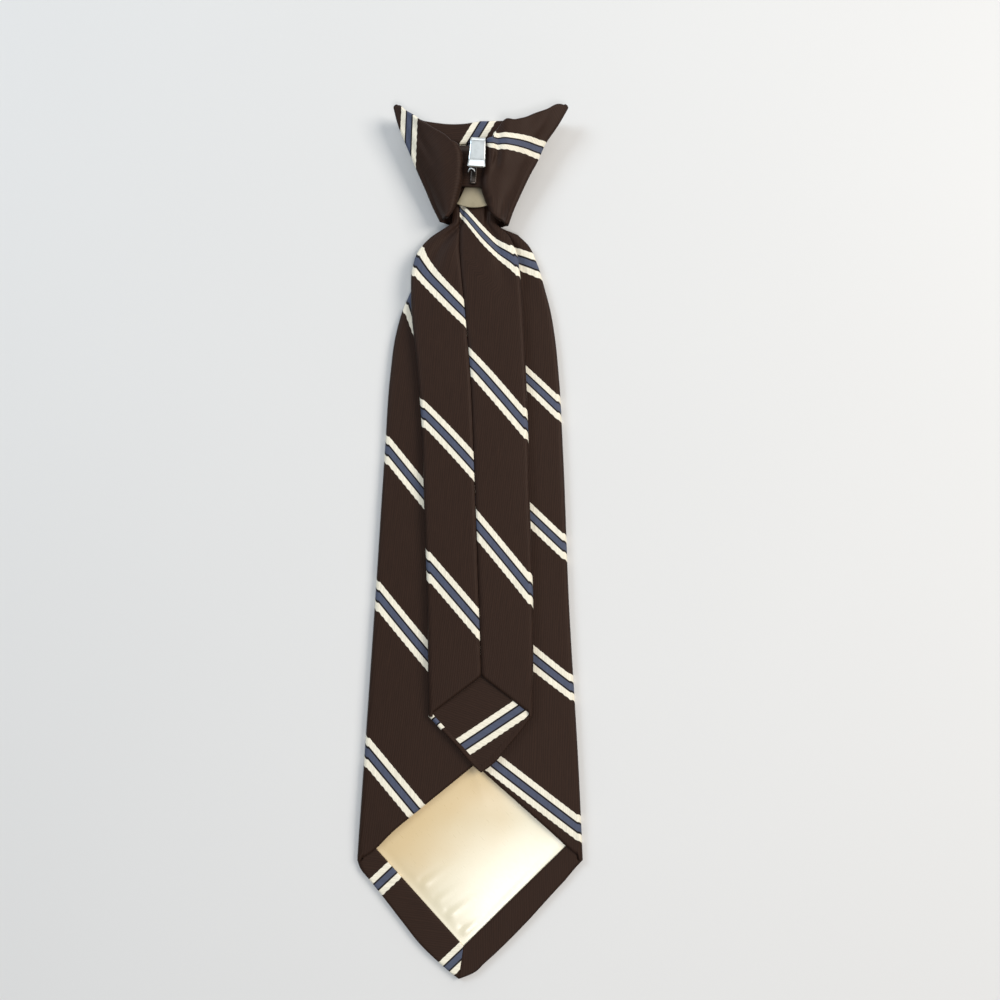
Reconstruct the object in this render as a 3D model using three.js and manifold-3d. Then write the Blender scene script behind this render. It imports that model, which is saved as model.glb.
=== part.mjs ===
// A pre-tied clip-on necktie lying face down, seen from its back. Millimetres, +Z up.
// X runs across the tie, Y from the point of the wide blade up to the knot.
import * as THREE from 'three';
import { mergeVertices } from 'three/addons/utils/BufferGeometryUtils.js';
import Module from 'manifold-3d';

const wasm = await Module();
wasm.setup();

// Cloth
const CLOTH = 1.0;              // one backed layer of the silk
const LINING = 0.9;             // the satin lining of a point
const GAP = 0.3;                // air between pieces that lie on each other
const SEAM_WIDTH = 0.6;         // groove of the seam down the back
const SEAM_DEPTH = 0.4;

// Wide front blade
const BLADE_WIDTH = 76;         // across the two corners
const BLADE_BODY = 220.5;       // corners to the foot of the knot
const BLADE_POINT = 38.5;       // corners down to the point
const BLADE_POINT_SHIFT = -3.6; // the point sits left of the middle
const BLADE_PAD = 3.7;          // folded cloth with its interlining
const BLADE_NECK_PAD = 3.2;     // pressed together inside the knot
const BLADE_RISE_RUN = 22;      // stretch over which the blade climbs into the knot
const BLADE_OPENING = 31.7;     // corners up to the apex of the opening
const BLADE_OPENING_SHIFT = 1.6;
const BLADE_HEM_LEFT = [7.3, 8.8];  // at the corner and at the point
const BLADE_HEM_RIGHT = [5.3, 7.3]; // at the point and at the corner
const BLADE_LINING_TUCK = 16;   // lining that runs up under the back panels

// Narrow tail
const TAIL_WIDTH = 36;
const TAIL_BODY = 172.5;        // corners to the foot of the knot
const TAIL_POINT = 18.6;
const TAIL_POINT_SHIFT = 3.7;
const TAIL_PAD = 3.5;
const TAIL_NECK_PAD = 2.8;
const TAIL_OPENING = 13.4;
const TAIL_OPENING_SHIFT = 3.8;
const TAIL_HEM = [1.6, 1.6];
const TAIL_LINING_TUCK = 7;

// Both blades, folded
const EDGE_SHARE = 0.62;        // thickness left at the rolled side edges, as a share
const EDGE_POWER = 8;           // how near the side edges the back rolls down
const GATHER_FLOOR = 0.3;       // thickness left in the deepest gathers, as a share
const GATHER_RUN = 0.17;        // share of the length that the gathers take below the knot
const ROW_CROWDING = 1.6;       // rows stand closer towards the neck by this power

// Knot
const KNOT_FOOT_WIDTH = 24.6;
const KNOT_EAR_SPAN = 62;
const KNOT_HEIGHT = 41.6;       // foot to the ears
const KNOT_EAR_STEP = 3.4;      // the right ear stands this much higher
const KNOT_RIM_DROP = 3.2;      // most that the front's rim hangs below the straight line
const KNOT_FOOT_DEPTH = 12.0;
const KNOT_TOP_DEPTH = 14.6;
const KNOT_FOLD_FOOT = 5.0;     // height of the side folds above the table
const KNOT_FOLD_TOP = 8.4;
const KNOT_FOLD_SLACK = 0.25;   // inner radius of the side folds
const KNOT_FLAP_LEFT = 26.0;    // foot to the upper inner corner of each back flap
const KNOT_FLAP_RIGHT = 28.0;
const KNOT_FLAP_GAP = 7.4;      // between the inner edges of the flaps
const KNOT_FLAP_CURL = 1.6;     // how far the inner edges roll down
const KNOT_FLAP_CURL_RUN = 0.16; // share of a flap's width that the roll takes
const KNOT_FLAP_DOME = 2.2;     // power of the flaps' fall towards the side folds
const KNOT_FRONT_DISH = 4;      // power of the front's rise towards the side folds
const KNOT_LEAN = 3.3;          // degrees, clockwise seen from the back
const KNOT_SHIFT = 0.9;
const NECK_CLEARANCE = 1.2;     // room beside the blades in the foot of the knot

// Former that spreads the flaps
const FORMER_TOP_WIDTH = 5.4;
const FORMER_FOOT_WIDTH = 11;
const FORMER_FLARE = 0.8;       // power of its sides' spread
const FORMER_HEIGHT = 6.8;
const FORMER_THICK = 1.2;
const FORMER_CAMBER = 0.45;
const FORMER_FOOT_BOW = 1.2;
const FORMER_INSET = 5.2;       // its foot above the foot of the knot
const FORMER_SHIFT = -1.0;      // it stands left of the knot's middle

// Spring clip
const CLIP_WIDTH = 5.3;
const CLIP_LEG_WIDTH = 5.8;     // outer leg where the lip begins
const CLIP_LENGTH = 8.7;        // straight part of the outer leg and its bend
const CLIP_LIP = 3.0;
const CLIP_LIP_FLARE = 1.1;
const CLIP_LIP_WIDTH = 6.5;
const CLIP_THICK = 0.6;
const CLIP_GRIP = 3.4;          // between the two legs
const CLIP_STEM_WIDTH = 2.2;
const CLIP_SHOULDER = 1.0;      // length over which the stem widens
const CLIP_TOP = 28.3;          // top of the bend above the foot of the knot

const KNOT_FOOT_Y = BLADE_POINT + BLADE_BODY;
const LEAN = THREE.MathUtils.degToRad(KNOT_LEAN);
// Both blades are drawn in to their necks where the leaning foot of the knot begins
const FOOT_LEAD = Math.sin(LEAN) * KNOT_FOOT_WIDTH / 2 + GAP;
const NECK_Y = KNOT_FOOT_Y - FOOT_LEAD;
const FOLD_RADIUS = CLOTH + KNOT_FOLD_SLACK;
const NECK_WIDTH = KNOT_FOOT_WIDTH - 2 * (FOLD_RADIUS + CLOTH + NECK_CLEARANCE);
const NECK_LENGTH = FOOT_LEAD + FORMER_INSET + FORMER_HEIGHT;

// Edges from the point (0) to the corners (1), as shares of half the width
const BLADE_POINT_OUTLINE = [
  { at: 0.00, left: 0.010, right: 0.030 },
  { at: 0.04, left: 0.060, right: 0.105 },
  { at: 0.13, left: 0.180, right: 0.212 },
  { at: 0.27, left: 0.350, right: 0.358 },
  { at: 0.47, left: 0.540, right: 0.547 },
  { at: 0.72, left: 0.768, right: 0.763 },
  { at: 0.84, left: 0.882, right: 0.868 },
  { at: 0.92, left: 0.960, right: 0.930 },
  { at: 1.00, left: 1.000, right: 1.000 },
];
const TAIL_POINT_OUTLINE = [
  { at: 0.00, left: 0.010, right: 0.020 },
  { at: 0.50, left: 0.510, right: 0.550 },
  { at: 1.00, left: 1.000, right: 1.000 },
];

// Outlines from the corners (0) to the foot of the knot (1), as shares of half the width
const BLADE_OUTLINE = [
  { at: 0.000, left: 1.000, right: 1.000 },
  { at: 0.132, left: 0.955, right: 0.970 },
  { at: 0.395, left: 0.868, right: 0.892 },
  { at: 0.632, left: 0.795, right: 0.847 },
  { at: 0.756, left: 0.753, right: 0.812 },
  { at: 0.823, left: 0.705, right: 0.775 },
  { at: 0.865, left: 0.640, right: 0.735 },
  { at: 0.896, left: 0.565, right: 0.690 },
  { at: 0.940, left: 0.460, right: 0.615 },
  { at: 0.972, left: 0.380, right: 0.525 },
  { at: 0.988, left: 0.330, right: 0.430 },
];
const TAIL_OUTLINE = [
  { at: 0.000, left: 0.780, right: 1.180 },
  { at: 0.226, left: 0.820, right: 1.190 },
  { at: 0.425, left: 0.894, right: 1.133 },
  { at: 0.588, left: 0.956, right: 1.100 },
  { at: 0.704, left: 1.050, right: 1.060 },
  { at: 0.849, left: 1.178, right: 0.990 },
  { at: 0.907, left: 1.156, right: 0.940 },
  { at: 0.942, left: 1.044, right: 0.880 },
  { at: 0.959, left: 0.920, right: 0.810 },
  { at: 0.974, left: 0.770, right: 0.740 },
];

// Gathers under the knot: place across the half width, depth as a share of the thickness
const BLADE_GATHERS = [
  { across: -0.62, depth: 0.34, spread: 0.16 },
  { across: 0.70, depth: 0.40, spread: 0.14 },
];
const TAIL_GATHERS = [
  { across: -0.58, depth: 0.36, spread: 0.18 },
  { across: 0.52, depth: 0.30, spread: 0.16 },
];

// Side folds of the knot from its foot (0) to the ears (1), as shares of the spread
const KNOT_SIDE = [
  { at: 0.00, left: 0.000, right: 0.00 },
  { at: 0.12, left: 0.145, right: 0.08 },
  { at: 0.27, left: 0.300, right: 0.21 },
  { at: 0.45, left: 0.495, right: 0.38 },
  { at: 0.54, left: 0.585, right: 0.48 },
  { at: 0.69, left: 0.742, right: 0.61 },
  { at: 0.86, left: 0.905, right: 0.84 },
  { at: 1.00, left: 1.000, right: 1.00 },
];
// Front rim from its middle (0) to the ears (1), as shares of the most that it hangs down
const KNOT_RIM = [
  { at: 0.00, left: 0.62500, right: 0.62500 },
  { at: 0.20, left: 0.93750, right: 0.59375 },
  { at: 0.40, left: 1.00000, right: 0.53125 },
  { at: 0.55, left: 0.90625, right: 0.43750 },
  { at: 0.72, left: 0.78125, right: 0.34375 },
  { at: 0.90, left: 0.18750, right: 0.15625 },
  { at: 1.00, left: 0.00000, right: 0.00000 },
];
// Inner edges of the flaps, as shares of half their gap: wide over the former, narrow above it
const FLAP_EDGE = [
  { at: 0.00, left: 2.43, right: 2.40 },
  { at: 0.07, left: 2.10, right: 1.66 },
  { at: 0.16, left: 1.82, right: 1.30 },
  { at: 0.27, left: 1.57, right: 0.92 },
  { at: 0.41, left: 1.38, right: 0.55 },
  { at: 0.60, left: 1.25, right: 0.57 },
  { at: 0.76, left: 1.29, right: 0.80 },
  { at: 0.90, left: 1.43, right: 0.84 },
  { at: 1.00, left: 1.78, right: 0.86 },
];
// Top edges of the flaps from their inner corners (0) to the ears (1), as shares of the rise
const FLAP_TOP = [
  { at: 0.00, left: 0.00, right: 0.00 },
  { at: 0.10, left: 0.13, right: 0.36 },
  { at: 0.31, left: 0.31, right: 0.48 },
  { at: 0.46, left: 0.45, right: 0.58 },
  { at: 0.56, left: 0.54, right: 0.69 },
  { at: 0.76, left: 0.76, right: 0.85 },
  { at: 0.88, left: 0.88, right: 0.98 },
  { at: 1.00, left: 1.00, right: 1.00 },
];

const smooth = (t) => {
  const c = Math.min(1, Math.max(0, t));
  return c * c * (3 - 2 * c);
};
const mix = (a, b, t) => a + (b - a) * t;

// Value of one column of a table at a place between its rows, along a smooth curve
function column(table, key, at) {
  const last = table.length - 1;
  let i = 0;
  while (i < last - 1 && at > table[i + 1].at) {
    i += 1;
  }
  const [p0, p1, p2, p3] = [i - 1, i, i + 1, i + 2].map((n) => table[Math.min(last, Math.max(0, n))]);
  const t = (at - p1.at) / (p2.at - p1.at);
  const slope = (a, b) => (b.at > a.at ? (b[key] - a[key]) / (b.at - a.at) : 0);
  const m1 = slope(p0, p2) * (p2.at - p1.at);
  const m2 = slope(p1, p3) * (p2.at - p1.at);
  const t2 = t * t;
  const t3 = t2 * t;
  return (2 * t3 - 3 * t2 + 1) * p1[key] + (t3 - 2 * t2 + t) * m1
    + (3 * t2 - 2 * t3) * p2[key] + (t3 - t2) * m2;
}

// Closed solid between two grids of points: rows run along +Y, columns so that outer faces out
function closedGrid(rows, columns, outer, inner) {
  const points = [];
  const index = [];
  const at = (face, i, j) => (face * (rows + 1) + i) * (columns + 1) + j;
  const quad = (a, b, c, d) => index.push(a, b, c, a, c, d);
  for (const face of [outer, inner]) {
    for (let i = 0; i <= rows; i += 1) {
      for (let j = 0; j <= columns; j += 1) {
        points.push(...face(i, j));
      }
    }
  }
  for (let i = 0; i < rows; i += 1) {
    for (let j = 0; j < columns; j += 1) {
      quad(at(0, i, j), at(0, i, j + 1), at(0, i + 1, j + 1), at(0, i + 1, j));
      quad(at(1, i, j), at(1, i + 1, j), at(1, i + 1, j + 1), at(1, i, j + 1));
    }
  }
  for (let j = 0; j < columns; j += 1) {
    quad(at(1, 0, j), at(1, 0, j + 1), at(0, 0, j + 1), at(0, 0, j));
    quad(at(0, rows, j), at(0, rows, j + 1), at(1, rows, j + 1), at(1, rows, j));
  }
  for (let i = 0; i < rows; i += 1) {
    quad(at(1, i + 1, 0), at(1, i, 0), at(0, i, 0), at(0, i + 1, 0));
    quad(at(1, i, columns), at(1, i + 1, columns), at(0, i + 1, columns), at(0, i, columns));
  }
  const geometry = new THREE.BufferGeometry();
  geometry.setAttribute('position', new THREE.Float32BufferAttribute(points, 3));
  geometry.setIndex(index);
  return geometry;
}

// Upright prism over a plan outline
function prism(outline, low, high) {
  const shape = new THREE.Shape(outline.map(([x, y]) => new THREE.Vector2(x, y)));
  const geometry = new THREE.ExtrudeGeometry(shape, { depth: high - low, bevelEnabled: false });
  geometry.translate(0, 0, low);
  return geometry;
}

function toManifold(geometry) {
  const bare = geometry.clone();
  bare.deleteAttribute('normal');
  bare.deleteAttribute('uv');
  const merged = mergeVertices(bare, 1e-5);
  return new wasm.Manifold(new wasm.Mesh({
    numProp: 3,
    vertProperties: new Float32Array(merged.attributes.position.array),
    triVerts: new Uint32Array(merged.index.array),
  }));
}

function toGeometry(manifold) {
  const mesh = manifold.getMesh();
  const geometry = new THREE.BufferGeometry();
  geometry.setAttribute('position', new THREE.BufferAttribute(new Float32Array(mesh.vertProperties), 3));
  geometry.setIndex(new THREE.BufferAttribute(new Uint32Array(mesh.triVerts), 1));
  return geometry;
}

// Where two plan lines cross, each given by two points
function crossing([[x1, y1], [x2, y2]], [[x3, y3], [x4, y4]]) {
  const d = (x1 - x2) * (y3 - y4) - (y1 - y2) * (x3 - x4);
  const a = x1 * y2 - y1 * x2;
  const b = x3 * y4 - y3 * x4;
  return [(a * (x3 - x4) - (x1 - x2) * b) / d, (a * (y3 - y4) - (y1 - y2) * b) / d];
}

// Plan line moved sideways to its left, its first end and its last each by a distance
function beside([[x1, y1], [x2, y2]], [first, last]) {
  const length = Math.hypot(x2 - x1, y2 - y1);
  const nx = -(y2 - y1) / length;
  const ny = (x2 - x1) / length;
  return [[x1 + nx * first, y1 + ny * first], [x2 + nx * last, y2 + ny * last]];
}

// Plan of one folded blade: corners, point, legs of its opening and inner lines of its hems
function bladePlan(b) {
  const left = [-b.width / 2 * b.outline[0].left, b.cornerY];
  const right = [b.width / 2 * b.outline[0].right, b.cornerY];
  const point = [b.pointShift, b.cornerY - b.point];
  const apex = [b.openingShift, b.cornerY + b.opening];
  return {
    left,
    right,
    point,
    apex,
    hemLeft: beside([left, point], b.hemLeft),
    hemRight: beside([point, right], b.hemRight),
    legLeft: [left, apex],
    legRight: [apex, right],
  };
}

// Outline of a blade's lining, drawn in by a margin and run straight up under the panels by a tuck
function liningOutline(b, margin, tuck) {
  const plan = bladePlan(b);
  const hemLeft = beside(plan.hemLeft, [margin, margin]);
  const hemRight = beside(plan.hemRight, [margin, margin]);
  const left = crossing(plan.legLeft, hemLeft);
  const right = crossing(hemRight, plan.legRight);
  const tucked = tuck > 0 ? [[right[0], right[1] + tuck], [plan.apex[0], plan.apex[1] + tuck],
    [left[0], left[1] + tuck]] : [plan.apex];
  return [crossing(hemLeft, hemRight), right, ...tucked, left];
}

// Depth of the gathers at a place across a blade, fading out below the knot
function gathered(b, u, share) {
  const near = smooth((share - 1 + GATHER_RUN) / GATHER_RUN);
  return b.gathers.reduce((sum, g) => sum + g.depth * Math.exp(-(((u - g.across) / g.spread) ** 2)), 0) * near;
}

// How far a blade has climbed into the knot, from 0 on the table to 1 at its neck
const climb = (y) => smooth((y - NECK_Y + BLADE_RISE_RUN) / BLADE_RISE_RUN);

function thickness(b, y) {
  return mix(b.pad, b.neckPad, climb(y));
}

// One folded and padded blade: a padded strip with its opening, hems, pocket and back seam cut in
function foldedBlade(b) {
  const POINT_ROWS = 9;
  const BODY_ROWS = 30;
  const NECK_ROWS = 3;
  const COLUMNS = 14;
  const rows = POINT_ROWS + BODY_ROWS + NECK_ROWS;
  const neck = b.neckWidth / 2;
  const half = b.width / 2;
  const edges = (i) => {
    if (i <= POINT_ROWS) {
      const t = (i / POINT_ROWS) ** ROW_CROWDING;
      const middle = mix(b.pointShift, 0, t);
      const side = (key) => half * column(b.pointOutline, key, t) * b.outline[0][key];
      return [b.cornerY - b.point * (1 - t), middle - side('left'), middle + side('right')];
    }
    if (i < POINT_ROWS + BODY_ROWS) {
      const at = 1 - (1 - (i - POINT_ROWS) / BODY_ROWS) ** ROW_CROWDING;
      const last = b.outline[b.outline.length - 1];
      const near = Math.max(0, (at - last.at) / (1 - last.at));
      const side = (key) => mix(half * column(b.outline, key, Math.min(at, last.at)), neck, near);
      const shift = KNOT_SHIFT * near;
      return [b.cornerY + b.body * at, shift - side('left'), shift + side('right')];
    }
    const y = NECK_Y + NECK_LENGTH * (i - POINT_ROWS - BODY_ROWS) / NECK_ROWS;
    const middle = KNOT_SHIFT + (y - KNOT_FOOT_Y) * Math.tan(LEAN);
    return [y, middle - neck, middle + neck];
  };
  const across = (j) => Math.sin((j / COLUMNS - 0.5) * Math.PI);
  const place = (i, j, top) => {
    const [y, left, right] = edges(i);
    const u = across(j);
    const x = mix(left, right, (u + 1) / 2);
    const thick = thickness(b, y);
    const lens = Math.sqrt(Math.max(0, 1 - u * u));
    const flat = mix(EDGE_SHARE, 1, (1 - u ** EDGE_POWER) ** 0.5);
    const round = climb(y);
    const share = (y - b.cornerY) / b.body;
    const inKnot = smooth((y - NECK_Y) / NECK_LENGTH);
    const fall = thick * gathered(b, u, Math.min(1, share)) * lens * (1 - inKnot);
    const crown = thick * mix(flat, 0.5 + 0.5 * lens, round);
    const keel = thick * mix(0, 0.5 - 0.5 * lens, round);
    const SEAL = 0.02;          // keeps the two faces apart at the neck's edges
    const least = keel + GATHER_FLOOR * thick * lens + SEAL;
    return [x, y, b.floor(y) + (top ? Math.max(crown - fall, least) : keel)];
  };
  const strip = toManifold(closedGrid(rows, COLUMNS, (i, j) => place(i, j, true), (i, j) => place(i, j, false)));

  const plan = bladePlan(b);
  const floor = b.floor(b.cornerY);
  const above = floor + b.pad + 1;
  const reach = b.width;
  const below = [
    [plan.left[0] - reach, plan.left[1] - reach * (plan.apex[1] - plan.left[1]) / (plan.apex[0] - plan.left[0])],
    plan.apex,
    [plan.right[0] + reach, plan.right[1] - reach * (plan.apex[1] - plan.right[1]) / (plan.right[0] - plan.apex[0])],
    [plan.right[0] + reach, plan.point[1] - reach],
    [plan.left[0] - reach, plan.point[1] - reach],
  ].reverse();
  const overHems = toManifold(prism(below, floor + 2 * CLOTH, above));
  const window = toManifold(prism(liningOutline(b, 0, 0), floor + CLOTH, above));
  const pocketTop = floor + CLOTH + LINING + 2 * GAP;
  const pocket = toManifold(prism(liningOutline(b, 0, b.tuck + GAP), floor + CLOTH, pocketTop));
  const seamTop = NECK_Y - BLADE_RISE_RUN;
  const seamX = (y) => {
    const at = (y - b.cornerY) / b.body;
    const shift = half * (column(b.outline, 'right', at) - column(b.outline, 'left', at)) / 2;
    return mix(b.openingShift, shift, smooth(at * 4));
  };
  const SEAM_STEPS = 6;
  const seam = [];
  for (let i = 0; i <= SEAM_STEPS; i += 1) {
    const y = mix(plan.apex[1] - 1, seamTop, i / SEAM_STEPS);
    seam.push([seamX(y) + SEAM_WIDTH / 2, y]);
    seam.unshift([seamX(y) - SEAM_WIDTH / 2, y]);
  }
  const groove = toManifold(prism(seam.reverse(), floor + b.pad - SEAM_DEPTH, above));
  return toGeometry(strip.subtract(overHems).subtract(window).subtract(pocket).subtract(groove));
}

// The lining of a blade's point, flat in its window and tucked up under the panels
function pointLining(b) {
  const floor = b.floor(b.cornerY) + CLOTH + GAP;
  return prism(liningOutline(b, GAP, b.tuck), floor, floor + LINING);
}

const blade = {
  width: BLADE_WIDTH,
  body: BLADE_BODY - FOOT_LEAD,
  point: BLADE_POINT,
  pointShift: BLADE_POINT_SHIFT,
  pad: BLADE_PAD,
  neckPad: BLADE_NECK_PAD,
  neckWidth: NECK_WIDTH,
  opening: BLADE_OPENING,
  openingShift: BLADE_OPENING_SHIFT,
  hemLeft: BLADE_HEM_LEFT,
  hemRight: BLADE_HEM_RIGHT,
  tuck: BLADE_LINING_TUCK,
  pointOutline: BLADE_POINT_OUTLINE,
  outline: BLADE_OUTLINE,
  gathers: BLADE_GATHERS,
  cornerY: BLADE_POINT,
  floor: (y) => (CLOTH + GAP) * climb(y),
};
const tail = {
  width: TAIL_WIDTH,
  body: TAIL_BODY - FOOT_LEAD,
  point: TAIL_POINT,
  pointShift: TAIL_POINT_SHIFT,
  pad: TAIL_PAD,
  neckPad: TAIL_NECK_PAD,
  neckWidth: NECK_WIDTH - 2 * CLOTH,
  opening: TAIL_OPENING,
  openingShift: TAIL_OPENING_SHIFT,
  hemLeft: TAIL_HEM,
  hemRight: TAIL_HEM,
  tuck: TAIL_LINING_TUCK,
  pointOutline: TAIL_POINT_OUTLINE,
  outline: TAIL_OUTLINE,
  gathers: TAIL_GATHERS,
  cornerY: KNOT_FOOT_Y - TAIL_BODY,
  floor: (y) => blade.floor(y) + thickness(blade, y) + GAP,
};

// The knot's wall: right flap, right fold, front, left fold, left flap, as one wrapped sheet
function knotWall() {
  const ROWS = 14;
  const FLAP = 7;
  const FOLD = 4;
  const FRONT = 12;
  const columns = 2 * FLAP + 2 * FOLD + FRONT;
  const half = (side, t) => mix(KNOT_FOOT_WIDTH, KNOT_EAR_SPAN, column(KNOT_SIDE, side, t)) / 2;
  const ear = { left: KNOT_HEIGHT - KNOT_EAR_STEP / 2, right: KNOT_HEIGHT + KNOT_EAR_STEP / 2 };
  const flapTop = { left: KNOT_FLAP_LEFT, right: KNOT_FLAP_RIGHT };
  const foldZ = (t) => mix(KNOT_FOLD_FOOT, KNOT_FOLD_TOP, t);
  const depth = (t) => mix(KNOT_FOOT_DEPTH, KNOT_TOP_DEPTH, t);
  const flap = (side, s, t, skin) => {
    const sign = side === 'left' ? -1 : 1;
    const edge = KNOT_FLAP_GAP / 2 * column(FLAP_EDGE, side, t);
    const x = mix(edge, half(side, t) - FOLD_RADIUS, s);
    const y = mix(flapTop[side], ear[side], column(FLAP_TOP, side, s)) * t;
    const roll = KNOT_FLAP_CURL * Math.exp(-((s / KNOT_FLAP_CURL_RUN) ** 2));
    const low = foldZ(t) + FOLD_RADIUS;
    const z = mix(depth(t), low, s ** KNOT_FLAP_DOME) - roll;
    return [sign * x, y, z - (skin ? CLOTH : 0)];
  };
  const front = (across, t, skin) => {
    const side = across < 0 ? 'left' : 'right';
    const s = Math.abs(across);
    const x = across * (half(side, t) - FOLD_RADIUS);
    const rim = mix(KNOT_HEIGHT, ear[side], s) - KNOT_RIM_DROP * column(KNOT_RIM, side, s);
    const z = (foldZ(t) - FOLD_RADIUS) * s ** KNOT_FRONT_DISH;
    return [x, rim * t, z + (skin ? CLOTH : 0)];
  };
  const fold = (side, a, t, skin) => {
    const sign = side === 'left' ? -1 : 1;
    const r = FOLD_RADIUS - (skin ? CLOTH : 0);
    const turn = Math.PI * (a - 0.5);
    const x = half(side, t) - FOLD_RADIUS + r * Math.cos(turn);
    return [sign * x, ear[side] * t, foldZ(t) + r * Math.sin(turn)];
  };
  const at = (skin) => (i, j) => {
    const t = i / ROWS;
    let k = j;
    if (k <= FLAP) {
      return flap('right', k / FLAP, t, skin);
    }
    k -= FLAP;
    if (k < FOLD) {
      return fold('right', 1 - k / FOLD, t, skin);
    }
    k -= FOLD;
    if (k <= FRONT) {
      return front(1 - 2 * k / FRONT, t, skin);
    }
    k -= FRONT;
    if (k < FOLD) {
      return fold('left', k / FOLD, t, skin);
    }
    k -= FOLD;
    return flap('left', 1 - k / FLAP, t, skin);
  };
  return closedGrid(ROWS, columns, at(false), at(true));
}

// Heights of what is stacked in the foot of the knot
const TAIL_NECK_TOP = tail.floor(KNOT_FOOT_Y) + TAIL_NECK_PAD;
const FORMER_TOP_Z = TAIL_NECK_TOP + GAP + FORMER_THICK;

// Bell-shaped plate, arched across, with a bowed foot
function formerPlate() {
  const ROWS = 4;
  const COLUMNS = 10;
  const at = (drop) => (i, j) => {
    const t = i / ROWS;
    const u = 2 * j / COLUMNS - 1;
    const x = u * mix(FORMER_FOOT_WIDTH, FORMER_TOP_WIDTH, t ** FORMER_FLARE) / 2;
    const y = FORMER_INSET + mix(-FORMER_FOOT_BOW * (1 - u * u), FORMER_HEIGHT, t);
    const z = FORMER_TOP_Z - FORMER_CAMBER * (2 * x / FORMER_FOOT_WIDTH) ** 2 - drop;
    return [FORMER_SHIFT + x, y, z];
  };
  return closedGrid(ROWS, COLUMNS, at(0), at(FORMER_THICK));
}

// Spring strip: stem, inner leg, round bend, outer leg and flared lip, swept across its width
function springClip() {
  const inner = FORMER_TOP_Z + CLIP_THICK / 2 + GAP;
  const radius = (CLIP_GRIP + CLIP_THICK) / 2;
  const bendY = CLIP_TOP - CLIP_THICK / 2 - radius;
  const stemFoot = FORMER_INSET + FORMER_HEIGHT + GAP;
  const legFoot = CLIP_TOP - CLIP_LENGTH;
  const stemTop = legFoot - CLIP_LIP / 2;
  const BEND_STEPS = 10;
  const LIP_STEPS = 4;
  const path = [
    { x: FORMER_SHIFT, y: stemFoot, z: inner, w: CLIP_STEM_WIDTH },
    { x: FORMER_SHIFT, y: stemTop - CLIP_SHOULDER, z: inner, w: CLIP_STEM_WIDTH },
    { x: 0, y: stemTop, z: inner, w: CLIP_WIDTH },
  ];
  for (let i = 0; i <= BEND_STEPS; i += 1) {
    const a = Math.PI * (i / BEND_STEPS - 0.5);
    path.push({ x: 0, y: bendY + radius * Math.cos(a), z: inner + radius + radius * Math.sin(a), w: CLIP_WIDTH });
  }
  for (let i = 0; i <= LIP_STEPS; i += 1) {
    const t = i / LIP_STEPS;
    path.push({
      x: 0,
      y: legFoot - CLIP_LIP * t,
      z: inner + 2 * radius + CLIP_LIP_FLARE * t * t,
      w: mix(CLIP_LEG_WIDTH, CLIP_LIP_WIDTH, t),
    });
  }
  const at = (side) => (i, j) => {
    const p = path[i];
    const a = path[Math.max(0, i - 1)];
    const b = path[Math.min(path.length - 1, i + 1)];
    const length = Math.hypot(b.y - a.y, b.z - a.z);
    const offset = side * CLIP_THICK / 2 / length;
    return [p.x + (j - 0.5) * p.w, p.y - (b.z - a.z) * offset, p.z + (b.y - a.y) * offset];
  };
  return closedGrid(path.length - 1, 1, at(1), at(-1));
}

const silk = new THREE.MeshStandardMaterial({ color: 0x2b1d18, roughness: 0.62, metalness: 0 });
const satin = new THREE.MeshStandardMaterial({ color: 0xe4d9ae, roughness: 0.4, metalness: 0 });
const ivory = new THREE.MeshStandardMaterial({ color: 0xb5ac86, roughness: 0.45, metalness: 0 });
const steel = new THREE.MeshStandardMaterial({ color: 0xc9ccc8, roughness: 0.25, metalness: 1 });

function named(name, geometry, material) {
  const mesh = new THREE.Mesh(geometry, material);
  mesh.name = name;
  return mesh;
}

const knot = new THREE.Group();
knot.add(
  named('knot', knotWall(), silk),
  named('knot_former', formerPlate(), ivory),
  named('clip', springClip(), steel),
);
knot.position.set(KNOT_SHIFT, KNOT_FOOT_Y, 0);
knot.rotation.z = -LEAN;

const tie = new THREE.Group();
tie.add(
  named('front_blade', foldedBlade(blade), silk),
  named('blade_tipping', pointLining(blade), satin),
  named('tail', foldedBlade(tail), silk),
  named('tail_tipping', pointLining(tail), silk),
  knot,
);

// The origin is the middle of the whole tie, on the table
tie.updateMatrixWorld(true);
const box = new THREE.Box3().setFromObject(tie, true);
const middle = box.getCenter(new THREE.Vector3());
tie.position.set(-middle.x, -middle.y, -box.min.z);

const group = new THREE.Group();
group.add(tie);
export default group;
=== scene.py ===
"""A pre-tied clip-on necktie, lying face down and seen from its back.

Lengths are millimetres. X runs across the tie, Y from the point of the wide
blade (0) up to the knot, and Z up out of the back. Meshes are moved to the
frame's origin and turned into metres when they are made.
"""

import logging
import math
from dataclasses import dataclass
from enum import Enum

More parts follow.
